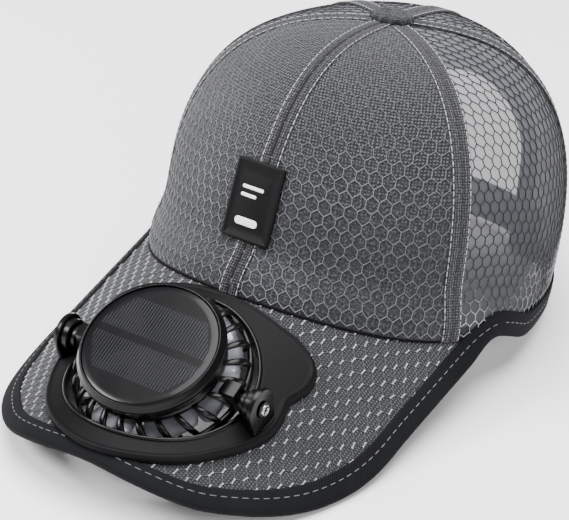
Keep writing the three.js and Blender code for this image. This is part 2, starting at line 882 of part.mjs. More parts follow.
// One curved rib from the drum's foot out and down to the cage ring
function rib(turn) {
  const steps = 3;
  const top = { radius: drumRadius - drumWall / 2, height: drumFoot + 1.2 };
  const end = { radius: cageRadius - cageWall / 2, height: cageTop - 0.6 };
  const face = [];
  const back = [];
  for (let i = 0; i <= 1; i++) {
    face.push([]);
    back.push([]);
    for (let j = 0; j <= steps; j++) {
      const t = j / steps;
      const bow = ribBulge * Math.sin(Math.PI * t);
      const radius = mix(end.radius, top.radius, t) + bow * 0.7 + ribDepth / 2;
      const height = mix(end.height, top.height, t) + bow * 0.7;
      const swirl = (0.5 - t) * ribSwirl * degrees;
      const half = (ribWidth / 2 / radius) * (i === 0 ? -1 : 1);
      const angle = turn + swirl + half;
      const at = (r) => new THREE.Vector3(r * Math.cos(angle), r * Math.sin(angle), height);
      face[i].push(at(radius));
      back[i].push(at(radius - ribDepth));
    }
  }
  return sheet(face, back);
}

function fanHousing() {
  const drum = turned(
    [
      [0, drumTop - drumWall],
      [drumRadius - drumWall, drumTop - drumWall],
      [drumRadius - drumWall, drumFoot],
      [drumRadius + 0.5, drumFoot],
      [drumRadius + 0.5, drumFoot + 1.5],
      [drumRadius, drumFoot + 2.3],
      [drumRadius, drumTop],
      [0, drumTop],
    ],
    40,
  );
  const ring = turned(
    [
      [cageRadius - cageWall, cageBottom],
      [cageRadius, cageBottom],
      [cageRadius, cageTop],
      [cageRadius - cageWall, cageTop],
      [cageRadius - cageWall, cageBottom],
    ],
    40,
  );
  let body = drum.add(ring);
  for (let k = 0; k < ribCount; k++) {
    // The ribs stand clear of the two pivot stubs
    body = body.add(solid(rib(((k + 0.5) / ribCount) * 2 * Math.PI)));
  }
  const guardTop = cageBottom + guardThickness;
  for (let k = 0; k < guardSpokes / 2; k++) {
    const spoke = new THREE.BoxGeometry(2 * cageRadius - cageWall, guardSpokeWidth, guardThickness)
      .translate(0, 0, (guardTop + cageBottom) / 2)
      .rotateZ(((k + 0.5) / guardSpokes) * 2 * Math.PI);
    body = body.add(solid(spoke));
  }
  const hub = turned(
    [
      [0, cageBottom],
      [guardHubRadius, cageBottom],
      [guardHubRadius, guardTop],
      [0, guardTop],
    ],
    16,
  );
  body = body.add(hub);
  const bossFace = earFace - earThickness - bossLength;
  [1, -1].forEach((side) => {
    const root = side > 0 ? [cageRadius - cageWall, earFace] : [-earFace, -cageRadius + cageWall];
    const ringFrom = side * (bossFace - clearance - stubRingWidth);
    const ringTo = side * (bossFace - clearance);
    const collar = [Math.min(ringFrom, ringTo), Math.max(ringFrom, ringTo)];
    body = body.add(solid(crossPin(stubRadius, root[0], root[1], 12)));
    body = body.add(solid(crossPin(stubRingRadius, collar[0], collar[1], 16)));
  });
  [1, -1].forEach((side) => {
    const width = 2 * stubRingRadius;
    const from = bladeRadius + 1.2;
    const to = cageRadius + 0.6;
    const web = new THREE.BoxGeometry(to - from, width, drumFoot + 1.5 + stubRadius)
      .translate((side * (from + to)) / 2, 0, (drumFoot + 1.5 - stubRadius) / 2);
    body = body.add(solid(web));
  });
  return geometryOf(body);
}

function fanMotor() {
  const points = [
    [0, hubBottom + 0.6],
    [shaftRadius, hubBottom + 0.6],
    [shaftRadius, motorBottom],
    [motorRadius - 0.6, motorBottom],
    [motorRadius, motorBottom + 0.6],
    [motorRadius, drumTop - drumWall - clearance],
    [0, drumTop - drumWall - clearance],
  ];
  return geometryOf(turned(points, 20));
}

// Twisted blade from the hub to its tip
function blade(turn) {
  const steps = 3;
  const chordSteps = 2;
  const upper = [];
  const lower = [];
  for (let i = 0; i <= steps; i++) {
    const t = i / steps;
    const radius = mix(hubRadius - 1, bladeRadius, t);
    const chord = mix(bladeRootChord, bladeTipChord, t);
    const pitch = mix(bladeRootPitch, bladeTipPitch, t) * degrees;
    upper.push([]);
    lower.push([]);
    for (let j = 0; j <= chordSteps; j++) {
      const along = (j / chordSteps - 0.5) * chord;
      const camber = 0.9 * (1 - (2 * j - chordSteps) ** 2 / chordSteps ** 2);
      const angle = turn + (along * Math.cos(pitch)) / radius;
      const height = along * Math.sin(pitch) + camber + (hubTop + hubBottom) / 2 - 0.3;
      const at = (h) => new THREE.Vector3(radius * Math.cos(angle), radius * Math.sin(angle), h);
      upper[i].push(at(height + bladeThickness / 2));
      lower[i].push(at(height - bladeThickness / 2));
    }
  }
  return sheet(upper, lower);
}

function fanImpeller() {
  const bore = shaftRadius + clearance;
  let body = turned(
    [
      [bore, hubBottom],
      [hubRadius, hubBottom],
      [hubRadius, hubTop - 1],
      [hubRadius - 1, hubTop],
      [bore, hubTop],
      [bore, hubBottom],
    ],
    16,
  );
  for (let k = 0; k < bladeCount; k++) {
    body = body.add(solid(blade((k / bladeCount) * 2 * Math.PI)));
  }
  return geometryOf(body);
}

// Round screw head outside an ear, with a slot
function pivotKnob(side) {
  const from = earFace + clearance;
  const head = solid(crossPin(knobRadius, from, from + knobThickness, 20));
  const slot = solid(
    new THREE.BoxGeometry(1, 2 * knobRadius + 1, 0.8).translate(from + knobThickness, 0, 0),
  );
  const body = head.subtract(slot);
  return geometryOf(side > 0 ? body : body.mirror([1, 0, 0]));
}

// Scene graph

function named(name, geometry, material) {
  const mesh = new THREE.Mesh(geometry, material);
  mesh.name = name;
  return mesh;
}

const hat = new THREE.Group();

const panels = [
  { name: "crown_panel_front_left", from: 0, to: frontSeamAngle, look: looks.netOverCloth },
  { name: "crown_panel_front_right", from: -frontSeamAngle, to: 0, look: looks.netOverCloth },
  { name: "crown_panel_side_left", from: frontSeamAngle, to: backSeamAngle, look: looks.openNet },
  { name: "crown_panel_side_right", from: -backSeamAngle, to: -frontSeamAngle, look: looks.openNet },
];
panels.forEach(({ name, from, to, look }) => hat.add(named(name, crownPanel(from, to), look())));
hat.add(named("crown_panel_back_left", backPanel(backSeamAngle, 180), looks.openNet()));
hat.add(named("crown_panel_back_right", backPanel(-180, -backSeamAngle), looks.openNet()));

const button = named("top_button", topButton(), looks.netOverCloth());
button.position.y = buttonSetback;
hat.add(button);
hat.add(named("front_label", frontLabel(), looks.rubber()));
hat.add(named("hem_binding_left", hemBinding(1), looks.tape()));
hat.add(named("hem_binding_right", hemBinding(-1), looks.tape()));
hat.add(named("arch_binding", archBinding(), looks.tape()));
hat.add(named("back_strap", backStrap(), looks.tape()));
hat.add(named("peak", peakWithHole(), looks.peakCover()));
hat.add(named("peak_binding", peakBinding(), looks.tape()));
hat.add(named("fan_base_plate", fanBasePlate(), looks.plate()));

// The fan's own group turns about the pivot
const fan = new THREE.Group();
fan.position.copy(new THREE.Vector3(0, 0, -pivotDepth).applyMatrix4(plateFrame));
fan.rotation.x = droop + restTilt * degrees;
fan.add(named("fan_housing", fanHousing(), looks.housing()));
fan.add(named("solar_bezel", solarBezel(), looks.bezel()));
fan.add(named("solar_cell", solarCell(), looks.cell()));
fan.add(named("fan_motor", fanMotor(), looks.steel()));
fan.add(named("fan_impeller", fanImpeller(), looks.blades()));
fan.add(named("pivot_knob_left", pivotKnob(1), looks.steel()));
fan.add(named("pivot_knob_right", pivotKnob(-1), looks.steel()));
hat.add(fan);

// Pitch at which the lowest point ahead of the button is level with the lowest one behind it
function restingPitch(object) {
  object.updateMatrixWorld(true);
  const points = [];
  object.traverse((piece) => {
    if (!piece.isMesh) return;
    const position = piece.geometry.attributes.position;
    for (let i = 0; i < position.count; i++) {
      points.push(new THREE.Vector3().fromBufferAttribute(position, i).applyMatrix4(piece.matrixWorld));
    }
  });
  const lowest = (angle, isBehind) =>
    points
      .filter((p) => p.y > buttonSetback === isBehind)
      .reduce((low, p) => Math.min(low, p.y * Math.sin(angle) + p.z * Math.cos(angle)), Infinity);
  let least = -30 * degrees;
  let most = 30 * degrees;
  for (let k = 0; k < 40; k++) {
    const middle = (least + most) / 2;
    if (lowest(middle, true) > lowest(middle, false)) most = middle;
    else least = middle;
  }
  return (least + most) / 2;
}

hat.rotation.x = restingPitch(hat);

// The origin is the middle of the bottom of the hat's box
const group = new THREE.Group();
group.add(hat);
group.updateMatrixWorld(true);
const box = new THREE.Box3().setFromObject(hat, true);
hat.position.set(-(box.min.x + box.max.x) / 2, -(box.min.y + box.max.y) / 2, -box.min.z);

export default group;
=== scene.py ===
"""Solar fan hat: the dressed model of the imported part, with its studio, lights and camera."""
import math

import bmesh
import bpy
import numpy as np
from mathutils import Matrix, Vector


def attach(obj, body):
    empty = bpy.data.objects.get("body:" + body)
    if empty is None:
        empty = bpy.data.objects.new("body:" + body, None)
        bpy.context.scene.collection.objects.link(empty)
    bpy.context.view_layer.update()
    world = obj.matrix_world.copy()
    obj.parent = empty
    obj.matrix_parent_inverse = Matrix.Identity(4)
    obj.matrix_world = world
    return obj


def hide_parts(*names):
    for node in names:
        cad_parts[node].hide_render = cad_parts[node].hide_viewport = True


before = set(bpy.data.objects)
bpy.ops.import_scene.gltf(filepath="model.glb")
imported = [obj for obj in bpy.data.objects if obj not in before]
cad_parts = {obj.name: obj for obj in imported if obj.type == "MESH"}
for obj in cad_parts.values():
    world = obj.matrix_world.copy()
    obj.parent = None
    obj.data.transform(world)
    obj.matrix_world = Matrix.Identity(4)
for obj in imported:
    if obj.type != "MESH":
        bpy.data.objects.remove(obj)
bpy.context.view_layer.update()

# All shapes are worked out in millimetres in the hem's frame, like the part's own source,
# and pitched into the resting frame here
REST_PITCH = math.radians(-8.023)
REST_SHIFT = np.array([0.0, 36.699, 15.042])
DEG = math.pi / 180


def stacked(*parts):
    """Points from their separate coordinates, each a number or an array."""
    return np.stack(np.broadcast_arrays(*parts), -1)


def pitched(points, angle, shift):
    """Points turned about the X axis and then shifted."""
    x, y, z = np.moveaxis(np.asarray(points, float), -1, 0)
    c, s = math.cos(angle), math.sin(angle)
    return stacked(x, y * c - z * s, y * s + z * c) + shift


def rest(points):
    """Hem's frame in millimetres to the resting frame in metres."""
    return pitched(points, REST_PITCH, REST_SHIFT) * 0.001


def unit(v):
    return v / np.maximum(np.linalg.norm(v, axis=-1, keepdims=True), 1e-6)


# Sizes, as in the part's source
CROWN_HEIGHT = 111.0
HALF_WIDTH = 80.5
FRONT_REACH = 94.5
BACK_REACH = 96.0
BUTTON_Y = 7.6
WALL = 1.2
FRONT_FLARE = 7.0
SIDE_FLARE = 4.1
FLARE_RISE = 0.15
PLAN_FRONT, PLAN_BACK = 1.86, 1.92
TOP_HOLE = 6.0
FRONT_SEAM, BACK_SEAM = 59.3, 121.0
SECTION = {  # out, up, lean
    "front": (3.03, 2.96, -0.049),
    "side": (2.54, 3.14, 0.029),
    "back": (3.89, 2.2, -0.006),
}
PEAK_REACH = 86.0
PEAK_HALF = 79.0
ROOT_Z = 19.1
DROOP = 23.5 * DEG
SIDE_DROP, BEND_WIDTH, BEND_POWER = 42.5, 80.0, 1.94
BOARD = 2.4
CORNER = 67.0
CORNER_OVERHANG = 4.5
ROOT_Y = BUTTON_Y - FRONT_REACH - FRONT_FLARE
RETURN = 22.0
CLEAR = 0.3
TAPE = 0.7


def ease(t):
    u = np.clip(t, 0, 1)
    return u * u * (3 - 2 * u)


def weights(phi):
    c = np.cos(phi)
    f, b = np.maximum(c, 0) ** 2, np.maximum(-c, 0) ** 2
    return f, 1 - f - b, b


def section(phi, k):
    f, s, b = weights(phi)
    return f * SECTION["front"][k] + s * SECTION["side"][k] + b * SECTION["back"][k]


def flare(phi):
    f, s, b = weights(phi)
    ahead = ease((np.cos(phi) + 0.25) / 0.6)
    return f * FRONT_FLARE / FRONT_REACH + s * ahead * SIDE_FLARE / HALF_WIDTH


def plan(phi):
    c, s = np.cos(phi), np.sin(phi)
    n = np.where(c > 0, PLAN_FRONT, PLAN_BACK)
    k = (np.abs(c) ** n + np.abs(s) ** n) ** (-1 / n)
    reach = np.where(c > 0, FRONT_REACH, BACK_REACH)
    return HALF_WIDTH * s * k, -reach * c * k


def bend(x):
    return SIDE_DROP * (np.abs(x) / BEND_WIDTH) ** BEND_POWER


def peak_z(x, y):
    return ROOT_Z - math.tan(DROOP) * (ROOT_Y - y) - bend(x)


def hem_z(phi):
    px, py = plan(phi)
    out = 1 + flare(phi)
    on_peak = peak_z(px * out, BUTTON_Y + py * out) + CLEAR
    t = ease((np.abs(phi) / DEG - CORNER) / RETURN)
    return on_peak * (1 - t)


def crown(phi, rise):
    """Outside of the crown. rise is 0 at the hem and 1 at the top."""
    phi, rise = np.broadcast_arrays(phi, rise)
    px, py = plan(phi)
    r = np.clip(rise, 0, 1)
    lean = 1 + section(phi, 2) * 4 * r * (1 - r / 2)
    fl = flare(phi) * np.exp(-((r / FLARE_RISE) ** 3))
    out = np.maximum(0, 1 - r ** section(phi, 1)) ** (1 / section(phi, 0)) * lean + fl
    hem = hem_z(phi)
    z = hem + (CROWN_HEIGHT - hem) * rise
    return stacked(px * out, BUTTON_Y + py * out, z)


def crown_normal(phi, rise):
    r = np.clip(rise, 0.008, 0.992)
    around = crown(phi + 0.01, r) - crown(phi - 0.01, r)
    upward = crown(phi, r + 0.004) - crown(phi, r - 0.004)
    return unit(np.cross(around, upward))


def round_scale(phi, rise):
    """Millimetres round the crown for each radian."""
    return np.linalg.norm(crown(phi + 0.01, rise) - crown(phi - 0.01, rise), axis=-1) / 0.02


def on_crown(phi, rise, offset):
    """Point at an offset from the crown's outside. A rise below 0 hangs under the hem."""
    phi, rise, offset = np.broadcast_arrays(phi, rise, offset)
    return crown(phi, rise) + crown_normal(phi, rise) * offset[..., None]


def peak_point(x, y, height):
    """Point above the peak's top, square to it."""
    step = 0.5
    slope = (bend(x + step) - bend(x - step)) / (2 * step)
    return stacked(x, y, peak_z(x, y)) + unit(stacked(slope, -math.tan(DROOP), 1.0)) * height


def path_run(points):
    """Length run along a path up to each of its points."""
    steps = np.linalg.norm(np.diff(np.asarray(points, float), axis=0), axis=1)
    return np.concatenate([[0], np.cumsum(steps)])


def along_path(s, run, points):
    """Points of a path at some lengths along it."""
    return stacked(*(np.interp(s, run, column) for column in points.T))


# Meshes

def link(name, data):
    """New object in the scene."""
    obj = bpy.data.objects.new(name, data)
    bpy.context.scene.collection.objects.link(obj)
    return obj


def new_mesh(name, points, faces, material, uv=None, *, slot, rides="hat", sharp=None, replaces=None):
    """Object from points in the hem's frame. Edges over the sharp angle, in degrees, stay crisp."""
    mesh = bpy.data.meshes.new(name)
    mesh.from_pydata([tuple(p) for p in rest(points)], [], [tuple(int(i) for i in f) for f in faces])
    mesh.validate()
    if uv is not None:
        layer = mesh.uv_layers.new(name="UVMap")
        index = np.empty(len(mesh.loops), dtype=np.int32)
        mesh.loops.foreach_get("vertex_index", index)
        layer.data.foreach_set("uv", uv[index].ravel())
    mesh.polygons.foreach_set("use_smooth", [True] * len(mesh.polygons))
    if sharp:
        mesh.set_sharp_from_angle(angle=math.radians(sharp))
    mesh.update()
    mesh.materials.append(material)
    obj = link(name, mesh)
    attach(obj, rides)
    if replaces:
        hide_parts(replaces)
    return obj


def grid_faces(n, m, start=0, wrap=False):
    """Quads of an n by m lattice of points, n across and m up."""
    faces = []
    for i in range(n if wrap else n - 1):
        for j in range(m - 1):
            a, b = start + i * m + j, start + ((i + 1) % n) * m + j
            faces.append((a, b, b + 1, a + 1))
    return faces


def lattice(name, points, material, uv=None, wrap=False, **kw):
    n, m = points.shape[:2]
    flat_uv = None if uv is None else uv.reshape(-1, 2)
    return new_mesh(name, points.reshape(-1, 3), grid_faces(n, m, 0, wrap), material, flat_uv, **kw)


def swept(name, rows, material, **kw):
    """Lattice from rows of (points, their U, their V)."""
    uv = np.array([stacked(u, v) for _, u, v in rows])
    return lattice(name, np.array([p for p, _, _ in rows]), material, uv, **kw)


SIDES = ((1, "left"), (-1, "right"))


def circle(sides):
    return np.linspace(0, 2 * math.pi, sides, endpoint=False)


def rings(points):
    """Lattice from closed rings, each a list of points."""
    return np.swapaxes(np.array(points), 0, 1)


def ringed(points):
    """Points and faces of a lattice from closed rings."""
    return points.reshape(-1, 3), grid_faces(*points.shape[:2], 0, True)


def two_sides(n, m):
    """Quads of two lattices back to back."""
    return grid_faces(n, m) + [f[::-1] for f in grid_faces(n, m, n * m)]


def shell(name, outer, inner, material, uv, **kw):
    """Closed sheet between two lattices."""
    n, m = outer.shape[:2]
    k = n * m
    faces = two_sides(n, m)
    for i in range(n - 1):
        a, b = i * m, (i + 1) * m
        faces.append((a + k, b + k, b, a))
        a, b = a + m - 1, b + m - 1
        faces.append((a, b, b + k, a + k))
    for j in range(m - 1):
        faces.append((j, j + 1, j + 1 + k, j + k))
        a = (n - 1) * m + j
        faces.append((a + 1, a, a + k, a + 1 + k))
    points = np.concatenate([outer.reshape(-1, 3), inner.reshape(-1, 3)])
    flat = uv.reshape(-1, 2)
    return new_mesh(name, points, faces, material, np.concatenate([flat, flat]), **kw)


OVERLAP = 0.1  # of strands that meet


def tubes(name, a, b, normal, width, thick, material, **kw):
    """Flat-sided strands from points a to points b, with six-sided sections."""
    d = unit(b - a)
    side = unit(np.cross(normal, d))
    up = np.cross(d, side)
    width = np.broadcast_to(width, (len(a), 2))
    ring = [(math.cos(t), math.sin(t)) for t in (0, 1.05, 2.09, math.pi, 4.19, 5.24)]
    count = len(ring)
    pts = np.empty((len(a), 2 * count, 3))
    for e, end in enumerate((a - d * OVERLAP, b + d * OVERLAP)):
        for k, (x, y) in enumerate(ring):
            pts[:, e * count + k] = end + side * (x * width[:, e:e + 1] / 2) + up * (y * thick / 2)
    base = np.arange(len(a))[:, None] * 2 * count
    quads = np.array([(k, (k + 1) % count, count + (k + 1) % count, count + k) for k in range(count)])
    faces = (base[:, :, None] + quads[None]).reshape(-1, 4)
    return new_mesh(name, pts.reshape(-1, 3), faces, material, **kw)


# Along a stitch, as shares of its length and radius: place, size, height
STITCH_RINGS = [(0.0, 0.25, -0.9), (0.14, 0.85, 0.0), (0.5, 1.0, 0.25), (0.86, 0.85, 0.0), (1.0, 0.25, -0.9)]
STITCH_SIDES = 6


def stitch_row(points, normals, pitch, share, radius):
    """Rounded stitches that dip into the cloth at both ends. Gives points and faces."""
    coarse_run = path_run(points)
    count = int(round(coarse_run[-1] / 0.4)) + 1
    fine = along_path(np.linspace(0, coarse_run[-1], count), coarse_run, points)
    run = path_run(fine)
    pts, faces = [], []
    for c in range(int(run[-1] // pitch)):
        start = c * pitch + pitch * (1 - share) / 2
        for t, size, lift in STITCH_RINGS:
            here = start + t * pitch * share
            mid, ahead, back = along_path([here, here + 0.3, here - 0.3], run, fine)
            n = unit(along_path(here, coarse_run, normals))
            side = np.cross(n, unit(ahead - back))
            for w in circle(STITCH_SIDES):
                off = side * math.cos(w) + n * math.sin(w) * 0.8
                pts.append(mid + off * radius * size + n * lift * radius)
        for r in range(len(STITCH_RINGS) - 1):
            a = (c * len(STITCH_RINGS) + r) * STITCH_SIDES
            b = a + STITCH_SIDES
            for k in range(STITCH_SIDES):
                m = (k + 1) % STITCH_SIDES
                faces.append((a + k, a + m, b + m, b + k))
    return np.array(pts), faces


def crown_stitches(phi, rise, lift, pitch, share, radius):
    return stitch_row(on_crown(phi, rise, lift), crown_normal(phi, rise), pitch, share, radius)


def joined(name, parts, material, **kw):
    """One object from several lists of points and faces."""
    pts, faces, start = [], [], 0
    for p, f in parts:
        pts.append(p)
        faces += [tuple(i + start for i in face) for face in f]
        start += len(p)
    return new_mesh(name, np.concatenate(pts), faces, material, **kw)


# Materials

def srgb(h):
    """Linear colour from six hexadecimal digits."""
    v = [int(h[i:i + 2], 16) / 255 for i in (0, 2, 4)]
    return tuple(c / 12.92 if c <= 0.04045 else ((c + 0.055) / 1.055) ** 2.4 for c in v) + (1.0,)


class Nodes:
    """Short way to build a material's nodes."""

    def __init__(self, name, rough, specular):
        self.mat = bpy.data.materials.new(name)
        self.mat.use_nodes = True
        self.tree = self.mat.node_tree
        self.shader = self.tree.nodes["Principled BSDF"]
        self.put("Roughness", rough)
        self.put("Specular IOR Level", specular)

    def put(self, name, value, node=None):
        """Give an input of a node, or of the shader, a value or another node's output."""
        socket = (node or self.shader).inputs[name]
        if isinstance(value, bpy.types.NodeSocket):
            self.tree.links.new(value, socket)
        else:
            socket.default_value = value

    def add(self, kind, inputs, **settings):
        """Outputs of a new node."""
        node = self.tree.nodes.new("ShaderNode" + kind)
        for key, value in settings.items():
            setattr(node, key, value)
        for key, value in inputs.items():
            self.put(key, value, node)
        return node.outputs

    def math(self, operation, a, b=0.0):
        return self.add("Math", {0: a, 1: b}, operation=operation)[0]

    def plus(self, a, b):
        return self.math("ADD", a, b)

    def times(self, a, b):
        return self.math("MULTIPLY", a, b)

    def mean(self, a, b):
        return self.plus(self.times(a, 0.5), self.times(b, 0.5))

    def centred(self, value, gain):
        """What a value has over 0.5, times a gain."""
        return self.times(self.math("SUBTRACT", value, 0.5), gain)

    def within(self, value, limit):
        """1 where a value is less than a limit either way, and 0 elsewhere."""
        return self.math("LESS_THAN", self.math("ABSOLUTE", value), limit)

    def coords(self, kind):
        return self.add("TexCoord", {})[kind]

    def split(self, vector):
        """X, Y and Z of a vector."""
        return tuple(self.add("SeparateXYZ", {0: vector}))

    def noise(self, vector, scale, detail=2.0):
        return self.add("TexNoise", {"Vector": vector, "Scale": scale, "Detail": detail})["Fac"]

    def wave(self, vector, scale, direction, distortion):
        inputs = {"Vector": vector, "Scale": scale, "Distortion": distortion}
        return self.add("TexWave", inputs, wave_type="BANDS", bands_direction=direction)["Fac"]

    def range(self, value, low, high, to_low, to_high):
        inputs = {"Value": value, "From Min": low, "From Max": high, "To Min": to_low, "To Max": to_high}
        return self.add("MapRange", inputs)[0]

    def color(self, fac, *stops):
        """Base colour by stops of (place, linear colour or hexadecimal digits)."""
        node = self.tree.nodes.new("ShaderNodeValToRGB")
        elements = node.color_ramp.elements
        while len(elements) < len(stops):
            elements.new(0.5)
        for element, (at, color) in zip(elements, stops):
            element.position = at
            element.color = srgb(color) if isinstance(color, str) else color
        self.put("Fac", fac, node)
        self.put("Base Color", node.outputs["Color"])

    def bump(self, height, strength, distance):
        inputs = {"Strength": strength, "Distance": distance, "Height": height}
        self.put("Normal", self.add("Bump", inputs)["Normal"])


WAVE_PERIOD = math.pi / 10  # period of a band wave at scale 1
LOOP_DRIFT = 50.0  # how far up and down the loops' lower limit wanders, in millimetres


def knit_cloth(name, low, mid, high, pitch, fleck=0.25, loop_rise=None, wobble=0.6, groove=0.0):
    """Fine knit whose loops show as dots, with UVs in millimetres.

    loop_rise is where the loops start to show and groove half the width of a dark line up the middle.
    """
    m = Nodes(name, 0.85, 0.25)
    uv = m.coords("UV")
    x, y, _ = m.split(uv)
    loops = m.times(*(m.wave(uv, WAVE_PERIOD / pitch, way, wobble) for way in "XY"))
    flecks = m.noise(uv, 0.9, 1.0)
    if loop_rise:
        height = m.plus(y, m.times(m.noise(uv, 0.05), LOOP_DRIFT))
        start, full = (rise + LOOP_DRIFT / 2 for rise in loop_rise)
        shown = m.range(height, start, full, 0.12, 1.0)
        flat = m.times(m.math("SUBTRACT", 1.0, shown), 0.25)
        loops = m.plus(m.times(loops, shown), flat)
    shade = m.plus(loops, m.centred(flecks, fleck * 4))
    shade = m.plus(shade, m.centred(m.noise(uv, 0.02, 3.0), 0.35))
    if groove:
        off = m.math("ABSOLUTE", m.plus(x, m.centred(m.noise(uv, 0.3), 0.5)))
        shade = m.times(shade, m.range(off, groove * 0.6, groove, 0.0, 1.0))
    m.color(shade, (0.0, low), (0.35, mid), (0.95, high))
    m.put("Roughness", m.range(flecks, 0.2, 0.8, 0.75, 0.95))
    m.put("Sheen Weight", 0.15)
    m.bump(shade, 0.85, 0.0007)
    return m.mat


def woven_tape(name, low, high):
    """Narrow ribbed tape. U runs along it and V across, in millimetres."""
    m = Nodes(name, 0.9, 0.1)
    uv = m.coords("UV")
    grain = m.noise(uv, 1.6)
    shade = m.mean(m.wave(uv, 0.62, "DIAGONAL", 0.6), grain)
    shade = m.plus(shade, m.centred(m.noise(uv, 0.05), 0.4))
    m.color(shade, (0.2, low), (0.9, high))
    m.put("Roughness", m.range(grain, 0.2, 0.8, 0.8, 0.98))
    m.bump(shade, 0.45, 0.0003)
    return m.mat


def thread(name, low, high):
    m = Nodes(name, 0.55, 0.4)
    twist = m.noise(m.coords("Object"), 2600, 1.0)
    m.color(twist, (0.25, low), (0.75, high))
    m.bump(twist, 0.3, 0.0001)
    return m.mat


def strand(name, low, high, patch_scale=60, rough=0.6, painted_highlight=None):
    """Net's strand. The last argument gives from and to which height in metres it turns to a last, light
    grey colour, and that colour: a painted highlight on the strands low on the net.
    """
    m = Nodes(name, rough, 0.3)
    at = m.coords("Object")
    grain = m.noise(at, 1800)
    shade = m.mean(grain, m.noise(at, patch_scale))
    stops = [(0.3, low), (0.7, high)]
    # painted highlight: below the given heights the strands turn light grey
    if painted_highlight:
        shade = m.plus(shade, m.range(m.split(at)[2], painted_highlight[0], painted_highlight[1], 0.0, 0.3))
        stops.append((1.0, painted_highlight[2]))
    m.color(shade, *stops)
    m.bump(grain, 0.3, 0.0001)
    return m.mat


def hard(name, low, high, rough_low, rough_high, grain, bump, specular=0.5, metal=0.0):
    """Plastic, rubber or metal with a fine grain and broad faint patches."""
    m = Nodes(name, rough_low, specular)
    at = m.coords("Object")
    fine, broad = m.noise(at, grain, 3.0), m.noise(at, 45, 3.0)
    m.color(broad, (0.3, low), (0.7, high))
    m.put("Roughness", m.range(m.mean(fine, broad), 0.3, 0.7, rough_low, rough_high))
    m.put("Metallic", metal)
    m.bump(fine, bump, 0.0002)
    return m.mat


def sheer(name, low, mid, high, opacity):
    """Thin see-through lining behind the net, with painted shade and light: darker towards the hem and paler
    towards the top of its panel.
    """
    m = Nodes(name, 0.9, 0.1)
    uv = m.coords("UV")
    grain = m.noise(uv, 1.2)
    # painted shade and light: the colour runs darker towards the hem and lighter towards the top
    up = m.range(m.split(uv)[1], 0.0, 120.0, 0.0, 0.8)
    grains = m.plus(m.times(grain, 0.1), m.times(m.noise(uv, 0.03), 0.2))
    m.color(m.plus(up, grains), (0.15, low), (0.45, mid), (0.9, high))
    m.put("Alpha", opacity)
    m.bump(grain, 0.2, 0.0002)
    return m.mat


CLOTH = knit_cloth("front_cloth", "141517", "2b2c30", "606166", 1.3, 0.4, (35, 85), 2.4)
BAND = knit_cloth("seam_cloth", "17181a", "2b2c30", "47484d", 1.1, 0.5, wobble=3.0)
MIDDLE_BAND = knit_cloth("middle_seam_cloth", "060607", "2b2c30", "47484d", 1.1, 0.5, wobble=3.0, groove=0.7)
PEAK_CLOTH = knit_cloth("peak_cloth", "18191b", "28292c", "404145", 1.1)
UNDER_CLOTH = knit_cloth("under_cloth", "141517", "1d1e21", "2a2b2e", 0.9)
TAPE_MAT = woven_tape("tape_weave", "070708", "17181b")
STRAP_MAT = woven_tape("strap_weave", "09090b", "17181b")
# near black: the seam's own cloth darkened into a painted shadow of the join between crown and peak
SEAM_AND_SHADOW = woven_tape("seam_shadow_cloth", "050506", "0e0e10")
THREAD = thread("pale_thread", "8a8b90", "bcbdc1")
TAPE_THREAD = thread("tape_thread", "404145", "6b6c71")
NET_LINE = strand("front_net_strand", "38393d", "75767b", 25)
# the side net's strands get a painted highlight, light grey towards the hem
NET_DARK = strand("side_net_strand", "0b0c0e", "1c1d20", painted_highlight=(0.062, 0.034, "a2a3a8"))
DASH = strand("peak_strand", "606166", "a6a7ac", 60, 0.4)
PEAK_LINE = strand("peak_fine_strand", "232427", "4a4b4f")
LINING = sheer("net_lining", "2c2d30", "4a4b4f", "64656a", 0.85)
RUBBER = hard("label_rubber", "050506", "0b0b0d", 0.5, 0.65, 1500, 0.12, 0.12)
PRINT = hard("label_print", "e6e6e6", "f2f2f2", 0.5, 0.6, 1500, 0.05)
PLATE = hard("plate_satin", "060607", "0c0c0e", 0.5, 0.62, 1600, 0.12, 0.09)
HOUSING = hard("housing_gloss", "030304", "070708", 0.22, 0.34, 700, 0.04, 0.2)
BEZEL = hard("bezel_gloss", "040405", "08080a", 0.2, 0.28, 700, 0.03, 0.15)
BLADE = hard("blade_smoke", "75767d", "a5a6ad", 0.1, 0.2, 500, 0.03, 0.9)
STEEL = hard("screw_steel", "8c8d90", "b4b5b8", 0.22, 0.38, 1200, 0.05, metal=1.0)

# Slots
NET, SOLID, TAPE_SLOT, COVER = "open_net", "net_over_cloth", "binding_tape", "peak_cover"


# Crown

COLUMNS, ROWS = 40, 70  # of a panel's lattice


def top_angle(phi):
    px, py = plan(phi)
    return np.arccos((TOP_HOLE / np.hypot(px, py)) ** (section(phi, 0) / 2))


def rise_of(phi, angle):
    return np.clip(np.sin(angle), 0, 1) ** (2 / section(phi, 1))


def height_table(phi):
    """Lengths up the crown from its hem at one angle, and the section's angles they belong to."""
    a = top_angle(phi) * np.linspace(0, 1, 600) ** 1.8
    return path_run(crown(phi, rise_of(phi, a))), a


